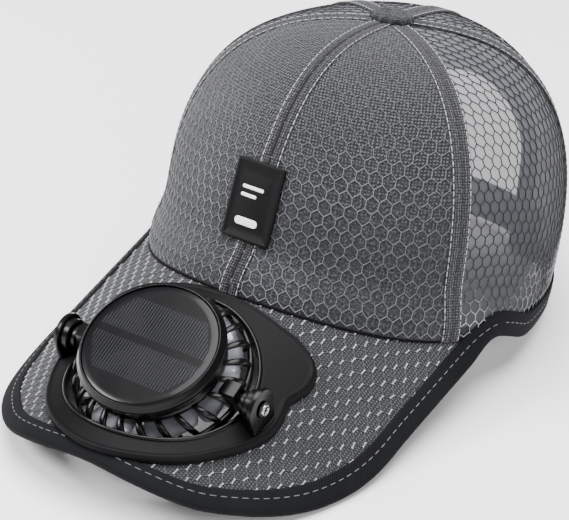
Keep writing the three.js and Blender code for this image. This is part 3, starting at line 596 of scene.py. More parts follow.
class Panel:
    """Flat millimetre coordinates on one panel: u round from its middle, v up from its hem."""

    def __init__(self, low, high):
        self.low, self.high = low * DEG, high * DEG
        self.middle = (self.low + self.high) / 2
        self.run, self.angle = height_table(self.middle)
        self.length = self.run[-1]
        self.scale = round_scale(self.middle, rise_of(self.middle, self.angle))

    def phi_rise(self, u, v):
        a = np.interp(v, self.run, self.angle)
        phi = self.middle + u / np.interp(v, self.run, self.scale)
        return phi, rise_of(phi, a)

    def half(self, v):
        return (self.high - self.low) / 2 * np.interp(v, self.run, self.scale)

    def lattice(self, offset):
        v = np.linspace(0, self.length, ROWS)
        share = np.linspace(-1, 1, COLUMNS)[:, None]
        phi = self.middle + share * (self.high - self.low) / 2 + 0 * v
        a = np.interp(v, self.run, self.angle) + 0 * phi
        return on_crown(phi, rise_of(phi, a), offset), stacked(share * self.half(v), v)


PANELS = {}
for name, low, high in (("front", 0, FRONT_SEAM), ("side", FRONT_SEAM, BACK_SEAM), ("back", BACK_SEAM, 180)):
    PANELS[name + "_left"], PANELS[name + "_right"] = Panel(low, high), Panel(-high, -low)

ARCH_HALF, ARCH_TOP, ARCH_SHOULDER = 33.0, 75.0, 42.0


def in_arch(points, margin=0.0):
    """Whether points on the crown lie in the arch left open at the back."""
    x, y, z = np.moveaxis(points, -1, 0)
    up = np.maximum(0, z - ARCH_SHOULDER) / (ARCH_TOP - ARCH_SHOULDER + margin)
    return (y > BUTTON_Y + 30) & ((x / (ARCH_HALF + margin)) ** 2 + up ** 2 < 1)


def hex_edges(width, row, vertical_share, u_range, v_range):
    """Edges of a net of upright six-sided cells. Gives both ends, and whether an edge is upright."""
    edges = []
    side = row * vertical_share
    for r in range(int(v_range[0] // row) - 1, int(v_range[1] // row) + 2):
        for c in range(int(u_range[0] // width) - 1, int(u_range[1] // width) + 2):
            x, y = c * width + (width / 2 if r % 2 else 0), r * row
            top = (x, y + row - side / 2)
            right = (x + width / 2, y + side / 2)
            left = (x - width / 2, y + side / 2)
            low = (x + width / 2, y - side / 2)
            edges += [(top, right, False), (top, left, False), (right, low, True)]
    a, b, upright = (np.array(column) for column in zip(*edges))
    return a + wander(a), b + wander(b), upright


def wander(p, reach=0.22):
    """Small shift of a net's knots, the same for every strand that meets at one."""
    x, y = np.round(p, 2).T
    first = np.sin(x * 12.9898 + y * 78.233) * 43758.5453
    second = np.sin(x * 39.3468 + y * 11.135) * 24634.6345
    return (stacked(first, second) % 1 - 0.5) * 2 * reach


# Cells as width and row height; fade is between which heights the strands narrow, and by what share
FRONT_NET = dict(cell=(5.1, 4.9), wide=0.38, thick=0.5, offset=0.14, material=NET_LINE, slot=SOLID,
                 fade=(50, 85, 0.55))
SIDE_NET = dict(cell=(4.8, 4.7), wide=0.46, thick=0.42, offset=-0.2, material=NET_DARK, slot=NET)
LINING_DEPTH = 0.75


def panel_net(name, panel, cell, wide, thick, offset, material, fade=None, keep_out=None, **kw):
    half = panel.half(0.0) + 10
    a, b, _ = hex_edges(*cell, 0.58, (-half, half), (0, panel.length))
    mid = (a + b) / 2
    keep = (np.abs(mid[:, 0]) < panel.half(mid[:, 1])) & (mid[:, 1] > 0.5) & (mid[:, 1] < panel.length)
    a, b, mid = a[keep], b[keep], mid[keep]
    limit = panel.half(mid[:, 1])
    a, b = (on_crown(*panel.phi_rise(np.clip(p[:, 0], -limit, limit), p[:, 1]), offset) for p in (a, b))
    normal = crown_normal(*panel.phi_rise(*mid.T))
    wide = np.full((len(a), 2), wide)
    if fade:
        low, high, share = fade
        wide *= 1 - share * ease((mid[:, 1:2] - low) / (high - low))
    if keep_out:
        ok = ~keep_out((a + b) / 2)
        a, b, normal, wide = a[ok], b[ok], normal[ok], wide[ok]
    tubes(name, a, b, normal, wide, thick, material, **kw)


def drop_faces(obj, test):
    """Delete the faces whose middle, in the hem's frame, passes the test."""
    mesh = obj.data
    centre = np.empty(len(mesh.polygons) * 3)
    mesh.polygons.foreach_get("center", centre)
    hem = pitched(centre.reshape(-1, 3) * 1000 - REST_SHIFT, -REST_PITCH, 0)
    bm = bmesh.new()
    bm.from_mesh(mesh)
    bm.faces.ensure_lookup_table()
    bmesh.ops.delete(bm, geom=[bm.faces[i] for i in np.nonzero(test(hem))[0]], context="FACES")
    bm.to_mesh(mesh)
    bm.free()


for _, side in SIDES:
    name = "front_" + side
    (outer, uv), (inner, _) = (PANELS[name].lattice(offset) for offset in (0.0, -WALL))
    shell("front_panel_" + side, outer, inner, CLOTH, uv, slot=SOLID, replaces="crown_panel_" + name)
    panel_net("front_net_" + side, PANELS[name], **FRONT_NET)
    for where in ("side", "back"):
        name = where + "_" + side
        blocked = in_arch if where == "back" else None
        panel_net("net_" + name, PANELS[name], keep_out=blocked, replaces="crown_panel_" + name, **SIDE_NET)
        points, uv = PANELS[name].lattice(-LINING_DEPTH)
        lining = lattice("lining_" + name, points, LINING, uv, slot=NET)
        if blocked:
            drop_faces(lining, lambda p: in_arch(p, 1.5))


# Seam where the crown is sewn down on the peak, near black for a painted shadow along the join as well as
# the seam
phi = np.linspace(-CORNER - 2, CORNER + 2, 120) * DEG
rows = []
for w in circle(8):
    out, up = 0.75 * math.cos(w), 0.6 * math.sin(w)
    p = on_crown(phi, 0, out - 0.25)
    p[:, 2] += 0.25 + up
    rows.append((p, phi * 85, up))
swept("root_seam_and_shadow", rows, SEAM_AND_SHADOW, wrap=True, slot=SOLID)


# Seam bands and their stitches

BAND_HALF = 4.4
BAND_PROFILE = [(-1.0, -0.1), (-0.985, 0.32), (-0.9, 0.5), (-0.45, 0.6), (-0.12, 0.56), (-0.04, 0.2),
                (0.04, 0.2), (0.12, 0.56), (0.45, 0.6), (0.9, 0.5), (0.985, 0.32), (1.0, -0.1)]


def seam_band(name, seam, start_height, material):
    """Folded seam allowance sewn down over a seam, and its two rows of stitches."""
    run, angle = height_table(seam)
    v = np.linspace(start_height, run[-1] - 1.5, 80)
    a = np.interp(v, run, angle)
    scale = round_scale(seam, rise_of(seam, a))
    rows = []
    for across, height in BAND_PROFILE:
        phi = seam + across * BAND_HALF / scale
        rows.append((on_crown(phi, rise_of(phi, a), height), across * BAND_HALF, v))
    swept(name, rows, material, slot=SOLID)
    sewn = [seam + across * BAND_HALF / scale for across in (-0.84, 0.84)]
    return [crown_stitches(phi, rise_of(phi, a), 0.58, 2.9, 0.84, 0.18) for phi in sewn]


stitches = []
for name, at, start in (
    ("front", 0, 0), ("front_left", FRONT_SEAM, 0), ("front_right", -FRONT_SEAM, 0),
    ("back_left", BACK_SEAM, 4), ("back_right", -BACK_SEAM, 4), ("back", 180, ARCH_TOP + 8),
):
    stitches += seam_band("seam_band_" + name, at * DEG, start, MIDDLE_BAND if name == "front" else BAND)
joined("crown_stitches", stitches, THREAD, slot=SOLID)


# Tapes

def fold_profile(width, outer, gap, wall):
    """Cross-section of a tape folded over an edge: (distance in from the edge, height)."""
    top, under = outer, -wall - outer
    return [
        (width, gap * 0.3), (width - 0.1, top * 0.8), (width - 0.7, top), (width * 0.55, top + 0.05),
        (0.6, top), (-0.5, top * 0.75), (-1.05, 0.0), (-1.2, -wall / 2), (-1.05, -wall),
        (-0.5, under * 0.95), (0.6, under), (width - 0.7, under), (width, -wall),
    ]


HEM_TAPE_START, HEM_TAPE_END = 76 * DEG, 2.72


def tape_points(phi, profile):
    """Sections of the hem's tape at some angles: rows by profile, then by place."""
    hem = hem_z(phi)
    pts = []
    for inward, height in profile:
        p = on_crown(phi, np.maximum(0, inward) / (CROWN_HEIGHT - hem), height)
        p[:, 2] += min(0, inward)
        pts.append(p)
    return np.array(pts)


SEWN_LINE = 3  # of a folded profile, on its outer side


def tape_uv(points, profile):
    """Millimetres along the tape and across its folded width."""
    return stacked(path_run(points[SEWN_LINE]), path_run(profile)[:, None])


def tape_row(points, pitch):
    """Stitches along the outer side of a tape."""
    line = points[SEWN_LINE]
    n = unit(np.cross(np.gradient(line, axis=0), points[SEWN_LINE - 1] - points[SEWN_LINE + 1]))
    n *= np.sign(np.sum(n * (line - points[-3]), axis=1, keepdims=True))
    return stitch_row(line, n, pitch, 0.74, 0.19)


tape_stitches = []
HEM_PROFILE = fold_profile(10.0, 1.0, 0.3, WALL)
hem_sections = {}
for sign, side in SIDES:
    hem_sections[sign] = tape_points(sign * np.linspace(HEM_TAPE_START, HEM_TAPE_END, 84), HEM_PROFILE)
    points = hem_sections[sign][:, ::sign]
    lattice("hem_tape_" + side, points, TAPE_MAT, tape_uv(points, HEM_PROFILE), slot=TAPE_SLOT,
            replaces="hem_binding_" + side)
    tape_stitches.append(tape_row(points, 3.9))


def back_phi_rise(x, height):
    """Angle and rise of points on the crown's back from x and the height above the hem."""
    rise = np.maximum(0, height) / CROWN_HEIGHT
    near, far = np.full_like(x, 90 * DEG), np.full_like(x, math.pi)
    for _ in range(40):
        middle = (near + far) / 2
        wide = crown(middle, rise)[..., 0] > np.abs(x)
        near, far = np.where(wide, middle, near), np.where(wide, far, middle)
    return np.where(x < 0, -near, near), rise


def on_back(x, height, offset):
    phi, rise = back_phi_rise(x, height)
    p = on_crown(phi, rise, offset)
    p[..., 2] += np.minimum(0, height)
    return p


def arch_line(margin, foot):
    """Line round the arch from foot to foot, at a margin outside it, as x and height."""
    half = ARCH_HALF + margin
    t = np.linspace(math.pi, 0, 70)
    bow = ARCH_SHOULDER + (ARCH_TOP - ARCH_SHOULDER + margin) * np.sin(t)
    leg = np.linspace(foot, ARCH_SHOULDER, 25)[:-1]
    sides = np.full(len(leg), half)
    return np.concatenate([-sides, half * np.cos(t), sides]), np.concatenate([leg, bow, leg[::-1]])


rows = []
for inward, height in fold_profile(7.5, 1.1, 0.3, WALL):
    p = on_back(*arch_line(inward, -1.0), height)
    rows.append((p, path_run(p), inward))
swept("arch_tape", rows[::-1], TAPE_MAT, slot=TAPE_SLOT, replaces="arch_binding")
tape_stitches.append(crown_stitches(*back_phi_rise(*arch_line(3.6, 1.0)), 1.2, 3.6, 0.74, 0.19))

# Strap across the arch
STRAP_HALF, STRAP_FOOT, STRAP_LIFT = 46, 2.5, 1.75
STRAP_PROFILE = [(0.3, 0.0), (0.0, 0.5), (0.4, 1.1), (2.0, 1.25), (16.0, 1.25), (17.6, 1.1), (18.0, 0.5),
                 (17.7, 0.0), (9.0, -0.05), (0.3, 0.0)]
x = np.linspace(STRAP_HALF, -STRAP_HALF, 80)
rows = []
for up, height in STRAP_PROFILE[::-1]:
    p = on_back(x, np.full_like(x, STRAP_FOOT + up), STRAP_LIFT + height)
    rows.append((p, STRAP_HALF - x, up + height))
swept("strap_band", rows, STRAP_MAT, slot=TAPE_SLOT, replaces="back_strap")
for up in (2.0, 16.0):
    at = back_phi_rise(x, np.full_like(x, STRAP_FOOT + up))
    tape_stitches.append(crown_stitches(*at, 3.02, 3.6, 0.74, 0.18))


# Peak

# Shares of the half width and of the reach
OUTLINE = [(0.0, 1.0), (0.28, 0.978), (0.53, 0.883), (0.722, 0.709), (0.861, 0.512), (0.949, 0.303),
           (0.994, 0.094)]


def catmull(points, count):
    """Even points along a smooth curve through some points."""
    p = np.asarray(points, float)
    p = np.concatenate([[2 * p[0] - p[1]], p, [2 * p[-1] - p[-2]]])
    out = []
    for a, b, c, d in zip(p, p[1:], p[2:], p[3:]):
        for t in np.linspace(0, 1, 40, endpoint=False):
            bent = (2 * a - 5 * b + 4 * c - d) * t ** 2 + (3 * b - a - 3 * c + d) * t ** 3
            out.append(0.5 * (2 * b + (c - a) * t + bent))
    out = np.array(out + [p[-2]])
    run = path_run(out)
    return along_path(np.linspace(0, run[-1], count), run, out)


corner = crown(CORNER * DEG, 0.0)[:2] + np.array([CORNER_OVERHANG, 0])
side_line = [np.array([a * PEAK_HALF, ROOT_Y - f * PEAK_REACH]) for a, f in OUTLINE]
last = side_line[-1]
side_line += [last + (corner - last) * share for share in (0.3, 0.6, 1.0)]
EDGE_COUNT = 181
peak_edge = catmull([(-x, y) for x, y in reversed(side_line[1:])] + side_line, EDGE_COUNT)


def inset(line, distance):
    """Line in plan, moved in from the peak's edge."""
    x, y = unit(np.gradient(line, axis=0)).T
    return line + stacked(-y, x) * distance


board_edge = inset(peak_edge, 1.0)
root = on_crown(np.linspace(-CORNER, CORNER, EDGE_COUNT) * DEG, 0, -3.6)

FAN_Y = ROOT_Y - 41.0
FAN_SEAT = np.array([0.0, FAN_Y, peak_z(0.0, FAN_Y)])
CLOTH_HOLE_R, NET_HOLE_R = 39.5, 41  # hidden under the fan's plate


def plate_frame(p):
    """Coordinates of the fan's plate to the hem's frame."""
    return pitched(p, DROOP, FAN_SEAT)


def plate_point(x, ahead, height):
    """Point above the bent peak, in the directions of the fan's plate."""
    return plate_frame(stacked(x, -ahead, height - bend(x) * math.cos(DROOP)))


def fan_distance(points):
    """Distance from the fan's axis in the plate's directions."""
    p = pitched(points - FAN_SEAT, -DROOP, 0)
    return np.hypot(p[..., 0], p[..., 1])


def peak_sheet(height):
    """Lattice between the peak's edge and the crown, and its place in plan as UVs."""
    t = np.linspace(0, 1, 46)[:, None]
    flat = rings([board_edge * (1 - s) + root[:, :2] * s for s in t])
    return peak_point(flat[..., 0], flat[..., 1], height), flat


(top, uv), (bottom, _) = peak_sheet(0.0), peak_sheet(-BOARD)
for sheet in (
    lattice("peak_cover", top, PEAK_CLOTH, uv, slot=COVER, replaces="peak"),
    lattice("peak_lining", bottom[:, ::-1], UNDER_CLOTH, uv[:, ::-1], slot=COVER),
):
    drop_faces(sheet, lambda p: fan_distance(p) < CLOTH_HOLE_R)


def inside_peak(p, margin):
    """Whether plan points are on the peak's open top, off its tape and the crown."""
    def shares(q):
        """X and Y from the crown's middle, over its half width and its reach."""
        return ((q[:, :2] - (0, BUTTON_Y)) / (HALF_WIDTH, FRONT_REACH)).T

    half = inset(peak_edge, margin)[EDGE_COUNT // 2:]
    limit = np.interp(-p[:, 1], -half[::-1, 1], half[::-1, 0])
    x, y = shares(p)
    hem = crown(np.arctan2(np.abs(x), -y), 0)
    outside = np.hypot(x, y) > np.hypot(*shares(hem)) - 0.02
    return (np.abs(p[:, 0]) < limit) & outside & (p[:, 1] > half[0, 1])


# Net over the peak's top: bright short bars fore and aft, joined by thin strands
a, b, upright = hex_edges(4.7, 4.35, 0.5, (-84, 84), (ROOT_Y - PEAK_REACH - 4, 0))
on_top = inside_peak((a + b) / 2, 6.6)
a, b = (peak_point(*p[on_top].T, 0.15) for p in (a, b))
clear = fan_distance((a + b) / 2) > NET_HOLE_R
a, b, upright = a[clear], b[clear], upright[on_top][clear]
square = (0.0, -math.tan(DROOP), 1.0)
tubes("peak_strands", a[~upright], b[~upright], square, 0.4, 0.3, PEAK_LINE, slot=COVER)
a, b = a[upright], b[upright]
third = (b - a) / 3
BAR_WIDTHS = ((1.0, 0.62), (0.62, 0.62), (0.62, 1.0))  # at the ends of each third of a bar
starts, ends = np.concatenate([a, a + third, b - third]), np.concatenate([a + third, b - third, b])
tubes("peak_bars", starts, ends, square, np.repeat(BAR_WIDTHS, len(a), axis=0), 0.5, DASH, slot=COVER)

# Tape round the peak, turned up on to the hem's tape past each corner
TURN_STEPS = 12
CORNER_CUT = 4
PEAK_PROFILE = fold_profile(6.0, 0.9, 0.3, BOARD)
sections = np.array([peak_point(*inset(board_edge, inward).T, height) for inward, height in PEAK_PROFILE])
sections = sections[:, CORNER_CUT:-CORNER_CUT]


def turn_up(tape, onward):
    """Sections from the start of one tape to the start of another, leaving each in its own direction."""
    last, first = tape[:, 0], onward[:, 0]
    reach = np.linalg.norm(first - last, axis=1, keepdims=True)
    leave, meet = unit(last - tape[:, 1]) * reach, unit(onward[:, 1] - first) * reach
    out = []
    for t in np.linspace(0, 1, TURN_STEPS + 1)[1:]:
        swing = leave * t * (1 - t) ** 2 - meet * t * t * (1 - t)
        out.append(last + (first - last) * ease(t) + swing)
    return np.stack(out, 1)


left = turn_up(sections[:, ::-1], hem_sections[1])
right = turn_up(sections, hem_sections[-1])
sections = np.concatenate([right[:, ::-1], sections, left], axis=1)
lattice("peak_tape", sections[::-1], TAPE_MAT, tape_uv(sections, PEAK_PROFILE)[::-1], slot=TAPE_SLOT,
        replaces="peak_binding")
tape_stitches.append(tape_row(sections, 4.1))
joined("tape_stitches", tape_stitches, TAPE_THREAD, slot=TAPE_SLOT)


# Top button

BUTTON_R, PLEATS = 8.7, 12
BUTTON_ROWS = [(4.5, -1.0), (4.5, 0.3), (7.6, 0.25), (8.4, 0.7), (8.7, 1.5), (8.45, 2.5), (7.8, 3.3),
               (6.6, 3.95), (5.0, 4.35), (3.2, 4.5), (1.4, 4.55), (0.05, 4.55)]


def button_ring(r, h, t):
    share = min(1.0, r / BUTTON_R)
    pleat = 1 + 0.06 * share * np.cos(PLEATS * t + 0.5 * np.sin(2 * t))
    dent = 1.8 * share * (1 - share) * np.maximum(0, np.cos(PLEATS * t + 0.5))
    return stacked(r * pleat * np.cos(t), BUTTON_Y + r * pleat * np.sin(t), CROWN_HEIGHT + h - dent)


button = rings([button_ring(r, h, circle(96)) for r, h in BUTTON_ROWS])
uv = stacked(np.linspace(0, 60, 96)[:, None], np.arange(len(BUTTON_ROWS)) * 1.6)
lattice("button_cloth", button, CLOTH, uv, wrap=True, slot=SOLID, replaces="top_button")


# Front label

LABEL_W, LABEL_H = 21.0, 30.0
LABEL_FOOT, LABEL_SHIFT, LABEL_LEAN = 18.4, 2, 0.03


def label_point(across, up, height):
    middle = np.zeros_like(across)
    rise = (LABEL_FOOT + LABEL_H / 2 + up) / (CROWN_HEIGHT - hem_z(middle))
    width = (crown(middle, rise)[..., 1] - BUTTON_Y) / -FRONT_REACH
    return on_crown((across - LABEL_SHIFT - LABEL_LEAN * up) / (HALF_WIDTH * width), rise, height)


def rounded_rect(w, h, r):
    pts = []
    for sx, sy, start in ((1, -1, -90), (1, 1, 0), (-1, 1, 90), (-1, -1, 180)):
        for turn in range(0, 91, 9):
            t = (start + turn) * DEG
            pts.append((sx * (w / 2 - r) + r * math.cos(t), sy * (h / 2 - r) + r * math.sin(t)))
    return np.array(pts)


def patch(name, w, h, r, profile, centre, material, **kw):
    """Low pad on the label's curve: profile rows of (inset, height), closed in the middle."""
    rows = [(ins, height, 1.0) for ins, height in profile]
    rows += [(*profile[-1], share) for share in (0.75, 0.5, 0.25, 0.02)]
    pts = []
    for ins, height, share in rows:
        line = rounded_rect(w - 2 * ins, h - 2 * ins, max(0.05, r - ins)) * share + centre
        pts.append(label_point(*line.T, height))
    lattice(name, rings(pts), material, wrap=True, slot="rubber_patch", **kw)


LABEL_PROFILE = [(0, 0.3), (0, 2.0), (0.25, 2.35), (1.1, 2.4), (1.4, 2.2), (1.7, 1.9)]
BAR_PROFILE = [(0, 1.8), (0.05, 2.06), (0.2, 2.1)]
patch("label_patch", LABEL_W, LABEL_H, 1.2, LABEL_PROFILE, (0, 0), RUBBER, replaces="front_label")
patch("label_bar_upper", 9.5, 1.3, 0.6, BAR_PROFILE, (-0.6, 5.2), PRINT)
patch("label_bar_lower", 7.0, 1.3, 0.6, BAR_PROFILE, (-1.8, 2.2), PRINT)
patch("label_lozenge", 10.0, 3.0, 1.45, BAR_PROFILE, (-0.6, -7.6), PRINT)


# Fan plate on the peak

PLATE_R, HOLE_R = 46.5, 36.0
PLATE_OUTLINE = [(0, 1.0), (30, 0.97), (60, 0.96), (76, 0.99), (90, 1.03), (101, 1.035), (109, 1.045),
                 (118, 1.17), (127, 1.23), (137, 1.165), (147, 1.05), (163, 0.955), (180, 0.92)]
PLATE_GAP = TAPE + 2 * CLEAR


def plate_rim(angle):
    deg = np.abs((np.degrees(angle) + 180) % 360 - 180)
    at = np.array([p[0] for p in PLATE_OUTLINE], float)
    reach = np.array([p[1] for p in PLATE_OUTLINE], float)
    k = np.clip(np.searchsorted(at, deg, side="right") - 1, 0, len(at) - 2)
    slope = np.zeros(len(at))
    slope[1:-1] = (reach[2:] - reach[:-2]) / (at[2:] - at[:-2])
    span = at[k + 1] - at[k]
    t = (deg - at[k]) / span
    s = ease(t)
    rise = slope[k] * t * (1 - t) ** 2 - slope[k + 1] * t * t * (1 - t)
    return PLATE_R * (reach[k] * (1 - s) + reach[k + 1] * s + rise * span)


PLATE_TOP, PLATE_FOOT, COLLAR_FOOT = PLATE_GAP + 2.0, 0.3, -4.2
RIM_PROFILE = [(3.0, 0), (2.5, 0), (2.0, 0.1), (1.7, 0.4), (1.1, 0.45), (0.5, 0.15), (0.1, -0.6), (0, -1.6)]
LIP_PROFILE = [(0.0, 0.3), (0.2, 0.75), (0.7, 0.95), (1.2, 0.75), (1.45, 0.3), (1.5, -0.5)]


def around_hole(name, rows, material, **kw):
    """Body round the fan's hole from rows of (radius, height above the peak)."""
    t = circle(180)
    pts = rings([plate_point(r * np.sin(t), r * np.cos(t), h) for r, h in rows])
    lattice(name, pts[::-1], material, wrap=True, slot="plate_plastic", **kw)


rim = plate_rim(circle(180))
bore = [(0.9, COLLAR_FOOT), (0.9, PLATE_TOP - 0.6), (1.4, PLATE_TOP - 0.1), (1.8, PLATE_TOP),
        (2.6, PLATE_TOP)]
rows = [(HOLE_R + out, h) for out, h in bore] + [((rim + HOLE_R + 2.6) / 2, PLATE_TOP)]
rows += [(rim - back, PLATE_TOP + up) for back, up in RIM_PROFILE]
rows += [(rim - 0.1, 0.35), (rim - 0.6, 0.25), (HOLE_R + 1.6, PLATE_FOOT), (HOLE_R + 1.6, COLLAR_FOOT),
         (HOLE_R + 0.9, COLLAR_FOOT)]
around_hole("fan_plate", rows, PLATE, sharp=50, replaces="fan_base_plate")
rows = [(HOLE_R + 1.0, COLLAR_FOOT), (HOLE_R + 0.2, COLLAR_FOOT), (HOLE_R, COLLAR_FOOT + 0.3)]
rows += [(HOLE_R + out, PLATE_TOP + up) for out, up in LIP_PROFILE] + [(HOLE_R + 1.0, COLLAR_FOOT)]
around_hole("plate_lip", rows, HOUSING)


# Frame of the fan about its pivot

PIVOT_DEPTH = 0.5
REST_TILT = 12.5
TILT = DROOP + REST_TILT * DEG
PIVOT = plate_frame([0, 0, -PIVOT_DEPTH])


def fan_frame(p):
    """Fan's own coordinates to the hem's frame."""
    return pitched(p, TILT, PIVOT)


def crosswise(to_hem, sign):
    """Function that sets an outline upright at a distance to one side, for extruded."""
    def place(outline, x):
        return to_hem(stacked(sign * x, *outline.T))
    return place


def extruded(outline, levels, place):
    """Closed body from an outline and levels of (position, inset)."""
    spread = outline - outline.mean(axis=0)
    points, faces = ringed(rings([place(outline - unit(spread) * ins, at) for at, ins in levels]))
    m = len(levels)
    faces.append(tuple(range(0, len(points), m))[::-1])
    faces.append(tuple(range(m - 1, len(points), m)))
    return points, faces


def pin(sign, rows, to_hem=fan_frame, height=0.0):
    """Turned body along X: rows of (distance off the middle, radius)."""
    t = circle(40)
    return ringed(rings([to_hem(stacked(sign * x, r * np.cos(t), height + r * np.sin(t))) for x, r in rows]))


# Upright ears with a boss on the inside

EAR_FACE, EAR_THICK, EAR_R, EAR_FOOT = 45.0, 2.2, 7.8, 13.0
EAR_INSIDE = EAR_FACE - EAR_THICK
BOSS_IN = EAR_INSIDE - 3.0
foot = PLATE_GAP + 1.0 - bend(EAR_FACE) * math.cos(DROOP)
ear = [(-EAR_FOOT / 2, foot), (EAR_FOOT / 2, foot)]
ear += [(EAR_R * math.cos(k * DEG), EAR_R * math.sin(k * DEG) - PIVOT_DEPTH) for k in range(0, 181, 9)]
levels = [(EAR_INSIDE, 0.4), (EAR_INSIDE + 0.4, 0), (EAR_FACE - 0.6, 0), (EAR_FACE - 0.15, 0.25),
          (EAR_FACE, 0.7)]
boss_rows = [(BOSS_IN, 2.7), (BOSS_IN, 5.9), (BOSS_IN + 0.4, 6.3), (EAR_INSIDE + 0.1, 6.3)]
for sign, side in SIDES:
    body = extruded(np.array(ear), levels, crosswise(plate_frame, sign))
    boss = pin(sign, boss_rows, plate_frame, -PIVOT_DEPTH)
    joined("pivot_ear_" + side, [body, boss], HOUSING, slot="plate_plastic", sharp=35)


# Fan

def turned(name, profile, material, slot, sides=128, rides="fan", uv=False, sharp=40, **kw):
    """Body of revolution about the fan's axis from (radius, height) rows."""
    t = circle(sides)
    p = rings([stacked(r * np.cos(t), r * np.sin(t), h) for r, h in profile])
    flat = p[..., :2] if uv else None
    lattice(name, fan_frame(p), material, flat, wrap=True, slot=slot, rides=rides, sharp=sharp, **kw)


HOUSING_LOOKS = dict(material=HOUSING, slot="housing_plastic")
DISC_TOP = 17.0
CELL_TOP = DISC_TOP - 0.4
BEZEL_DEPTH = 4.6
DRUM_TOP = DISC_TOP - BEZEL_DEPTH - CLEAR
BEZEL_PROFILE = [  # radius and depth under the disc's top
    (22.4, BEZEL_DEPTH), (27.9, BEZEL_DEPTH), (28.35, 4.3), (28.5, 3.8), (28.5, 3.0), (28.42, 2.65),
    (28.15, 2.3), (27.5, 1.3), (26.95, 0.3), (26.75, 0.08), (26.5, 0), (26.3, 0.08), (26.2, 0.4),
    (26.2, 2.2), (22.4, 2.2), (22.4, BEZEL_DEPTH),
]
turned("bezel_ring", [(r, DISC_TOP - down) for r, down in BEZEL_PROFILE], BEZEL, "bezel_plastic",
       replaces="solar_bezel")

# Solar cell under its clear cover, with two rows of fine fore-and-aft lines
LINE_PITCH, LINE_HALF = 1.2, 0.17
ROW_MIDDLE, ROW_HALF = 9.0, 7.4
cell = Nodes("solar_cell", 0.2, 0.12)
uv = cell.coords("UV")
x, y, _ = cell.split(uv)
phase = cell.math("FRACT", cell.math("DIVIDE", cell.plus(x, 100.0), LINE_PITCH))
slant = cell.plus(cell.math("ABSOLUTE", x), cell.times(cell.math("ABSOLUTE", y), 0.62))
two_rows = [cell.within(cell.plus(y, middle), ROW_HALF) for middle in (-ROW_MIDDLE, ROW_MIDDLE)]
mask = cell.range(cell.noise(uv, 0.06), 0.3, 0.7, 0.45, 1.0)
for part in (
    cell.within(cell.math("SUBTRACT", phase, 0.5), LINE_HALF),
    cell.math("MAXIMUM", *two_rows),
    cell.within(slant, 25.8),
    cell.within(x, 23.4),
):
    mask = cell.times(mask, part)
cell.color(mask, (0.0, "070709"), (1.0, "2a2b30"))
cell.put("Roughness", cell.range(cell.noise(uv, 0.05), 0.3, 0.7, 0.24, 0.3))
cell.put("Coat Weight", 0.12)
cell.put("Coat Roughness", 0.08)
rows = [(26.0, CELL_TOP - 1.4), (26.0, CELL_TOP - 0.3), (25.85, CELL_TOP - 0.1), (25.6, CELL_TOP)]
rows += [(25.6 * s, CELL_TOP + 0.12 * (1 - s * s)) for s in (0.9, 0.8, 0.65, 0.5, 0.35, 0.2, 0.1, 0.002)]
turned("cell_disc", rows, cell.mat, "cell_glass", replaces="solar_cell", uv=True)

# Drum, cage ring and ribs
DRUM_R, DRUM_FOOT = 26.6, 6.0
CAGE_R, CAGE_TOP, CAGE_LOW = 34.3, -1.0, -5.0
turned("fan_drum", [
    (0.05, DRUM_TOP - 1.4), (25.2, DRUM_TOP - 1.4), (25.2, DRUM_FOOT), (26.9, DRUM_FOOT),
    (27.1, DRUM_FOOT + 0.3), (27.1, DRUM_FOOT + 1.4), (26.9, DRUM_FOOT + 1.9), (26.7, DRUM_FOOT + 2.2),
    (DRUM_R, DRUM_FOOT + 2.6), (DRUM_R, DRUM_TOP - 0.3), (26.4, DRUM_TOP), (0.05, DRUM_TOP),
], replaces="fan_housing", **HOUSING_LOOKS)
turned("cage_ring", [
    (32.6, CAGE_LOW), (33.9, CAGE_LOW), (34.2, CAGE_LOW + 0.3), (CAGE_R, CAGE_LOW + 0.8),
    (CAGE_R, CAGE_TOP - 0.7), (34.1, CAGE_TOP - 0.2), (33.6, CAGE_TOP), (33.0, CAGE_TOP - 0.05),
    (32.6, CAGE_TOP - 0.4), (32.6, CAGE_LOW),
], **HOUSING_LOOKS)

RIBS, RIB_STEPS, RIB_SIDES = 24, 16, 8
RIB_BULGE, RIB_TWIST = 2.17, 9 * DEG
RIB_DEPTH_OUT, RIB_DEPTH_UP = 0.675, 0.594  # of half a rib, which leans inward as it rises


def rib(turn):
    """Curved rib with a rounded square section, from the cage's ring up to the drum."""
    t = np.linspace(0, 1, RIB_STEPS + 1)[:, None]
    w = 2 * math.pi * (np.arange(RIB_SIDES) + 0.5) / RIB_SIDES
    across, out = (np.sign(f) * np.abs(f) ** 0.6 for f in (np.cos(w), np.sin(w)))
    bulge = np.sin(math.pi * t)
    radius = (CAGE_R - 0.85) * (1 - t) + (DRUM_R - 0.7) * t + bulge * RIB_BULGE
    height = (CAGE_TOP - 0.6) * (1 - t) + (DRUM_FOOT + 1.2) * t + bulge * RIB_BULGE
    angle = turn + (0.5 - t) * RIB_TWIST + across * (1.15 + 0.3 * bulge) / radius
    r = radius + out * RIB_DEPTH_OUT
    up = height + out * RIB_DEPTH_UP
    return ringed(rings(fan_frame(stacked(r * np.cos(angle), r * np.sin(angle), up))))


ribs = [rib((k + 0.5) / RIBS * 2 * math.pi) for k in range(RIBS)]
joined("cage_ribs", ribs, rides="fan", **HOUSING_LOOKS)

# Guard under the impeller: spokes and a hub
SPOKE = np.array([(-0.9, -5.0), (0.9, -5.0), (0.9, -3.6), (0.6, -3.4), (-0.6, -3.4), (-0.9, -3.6)])


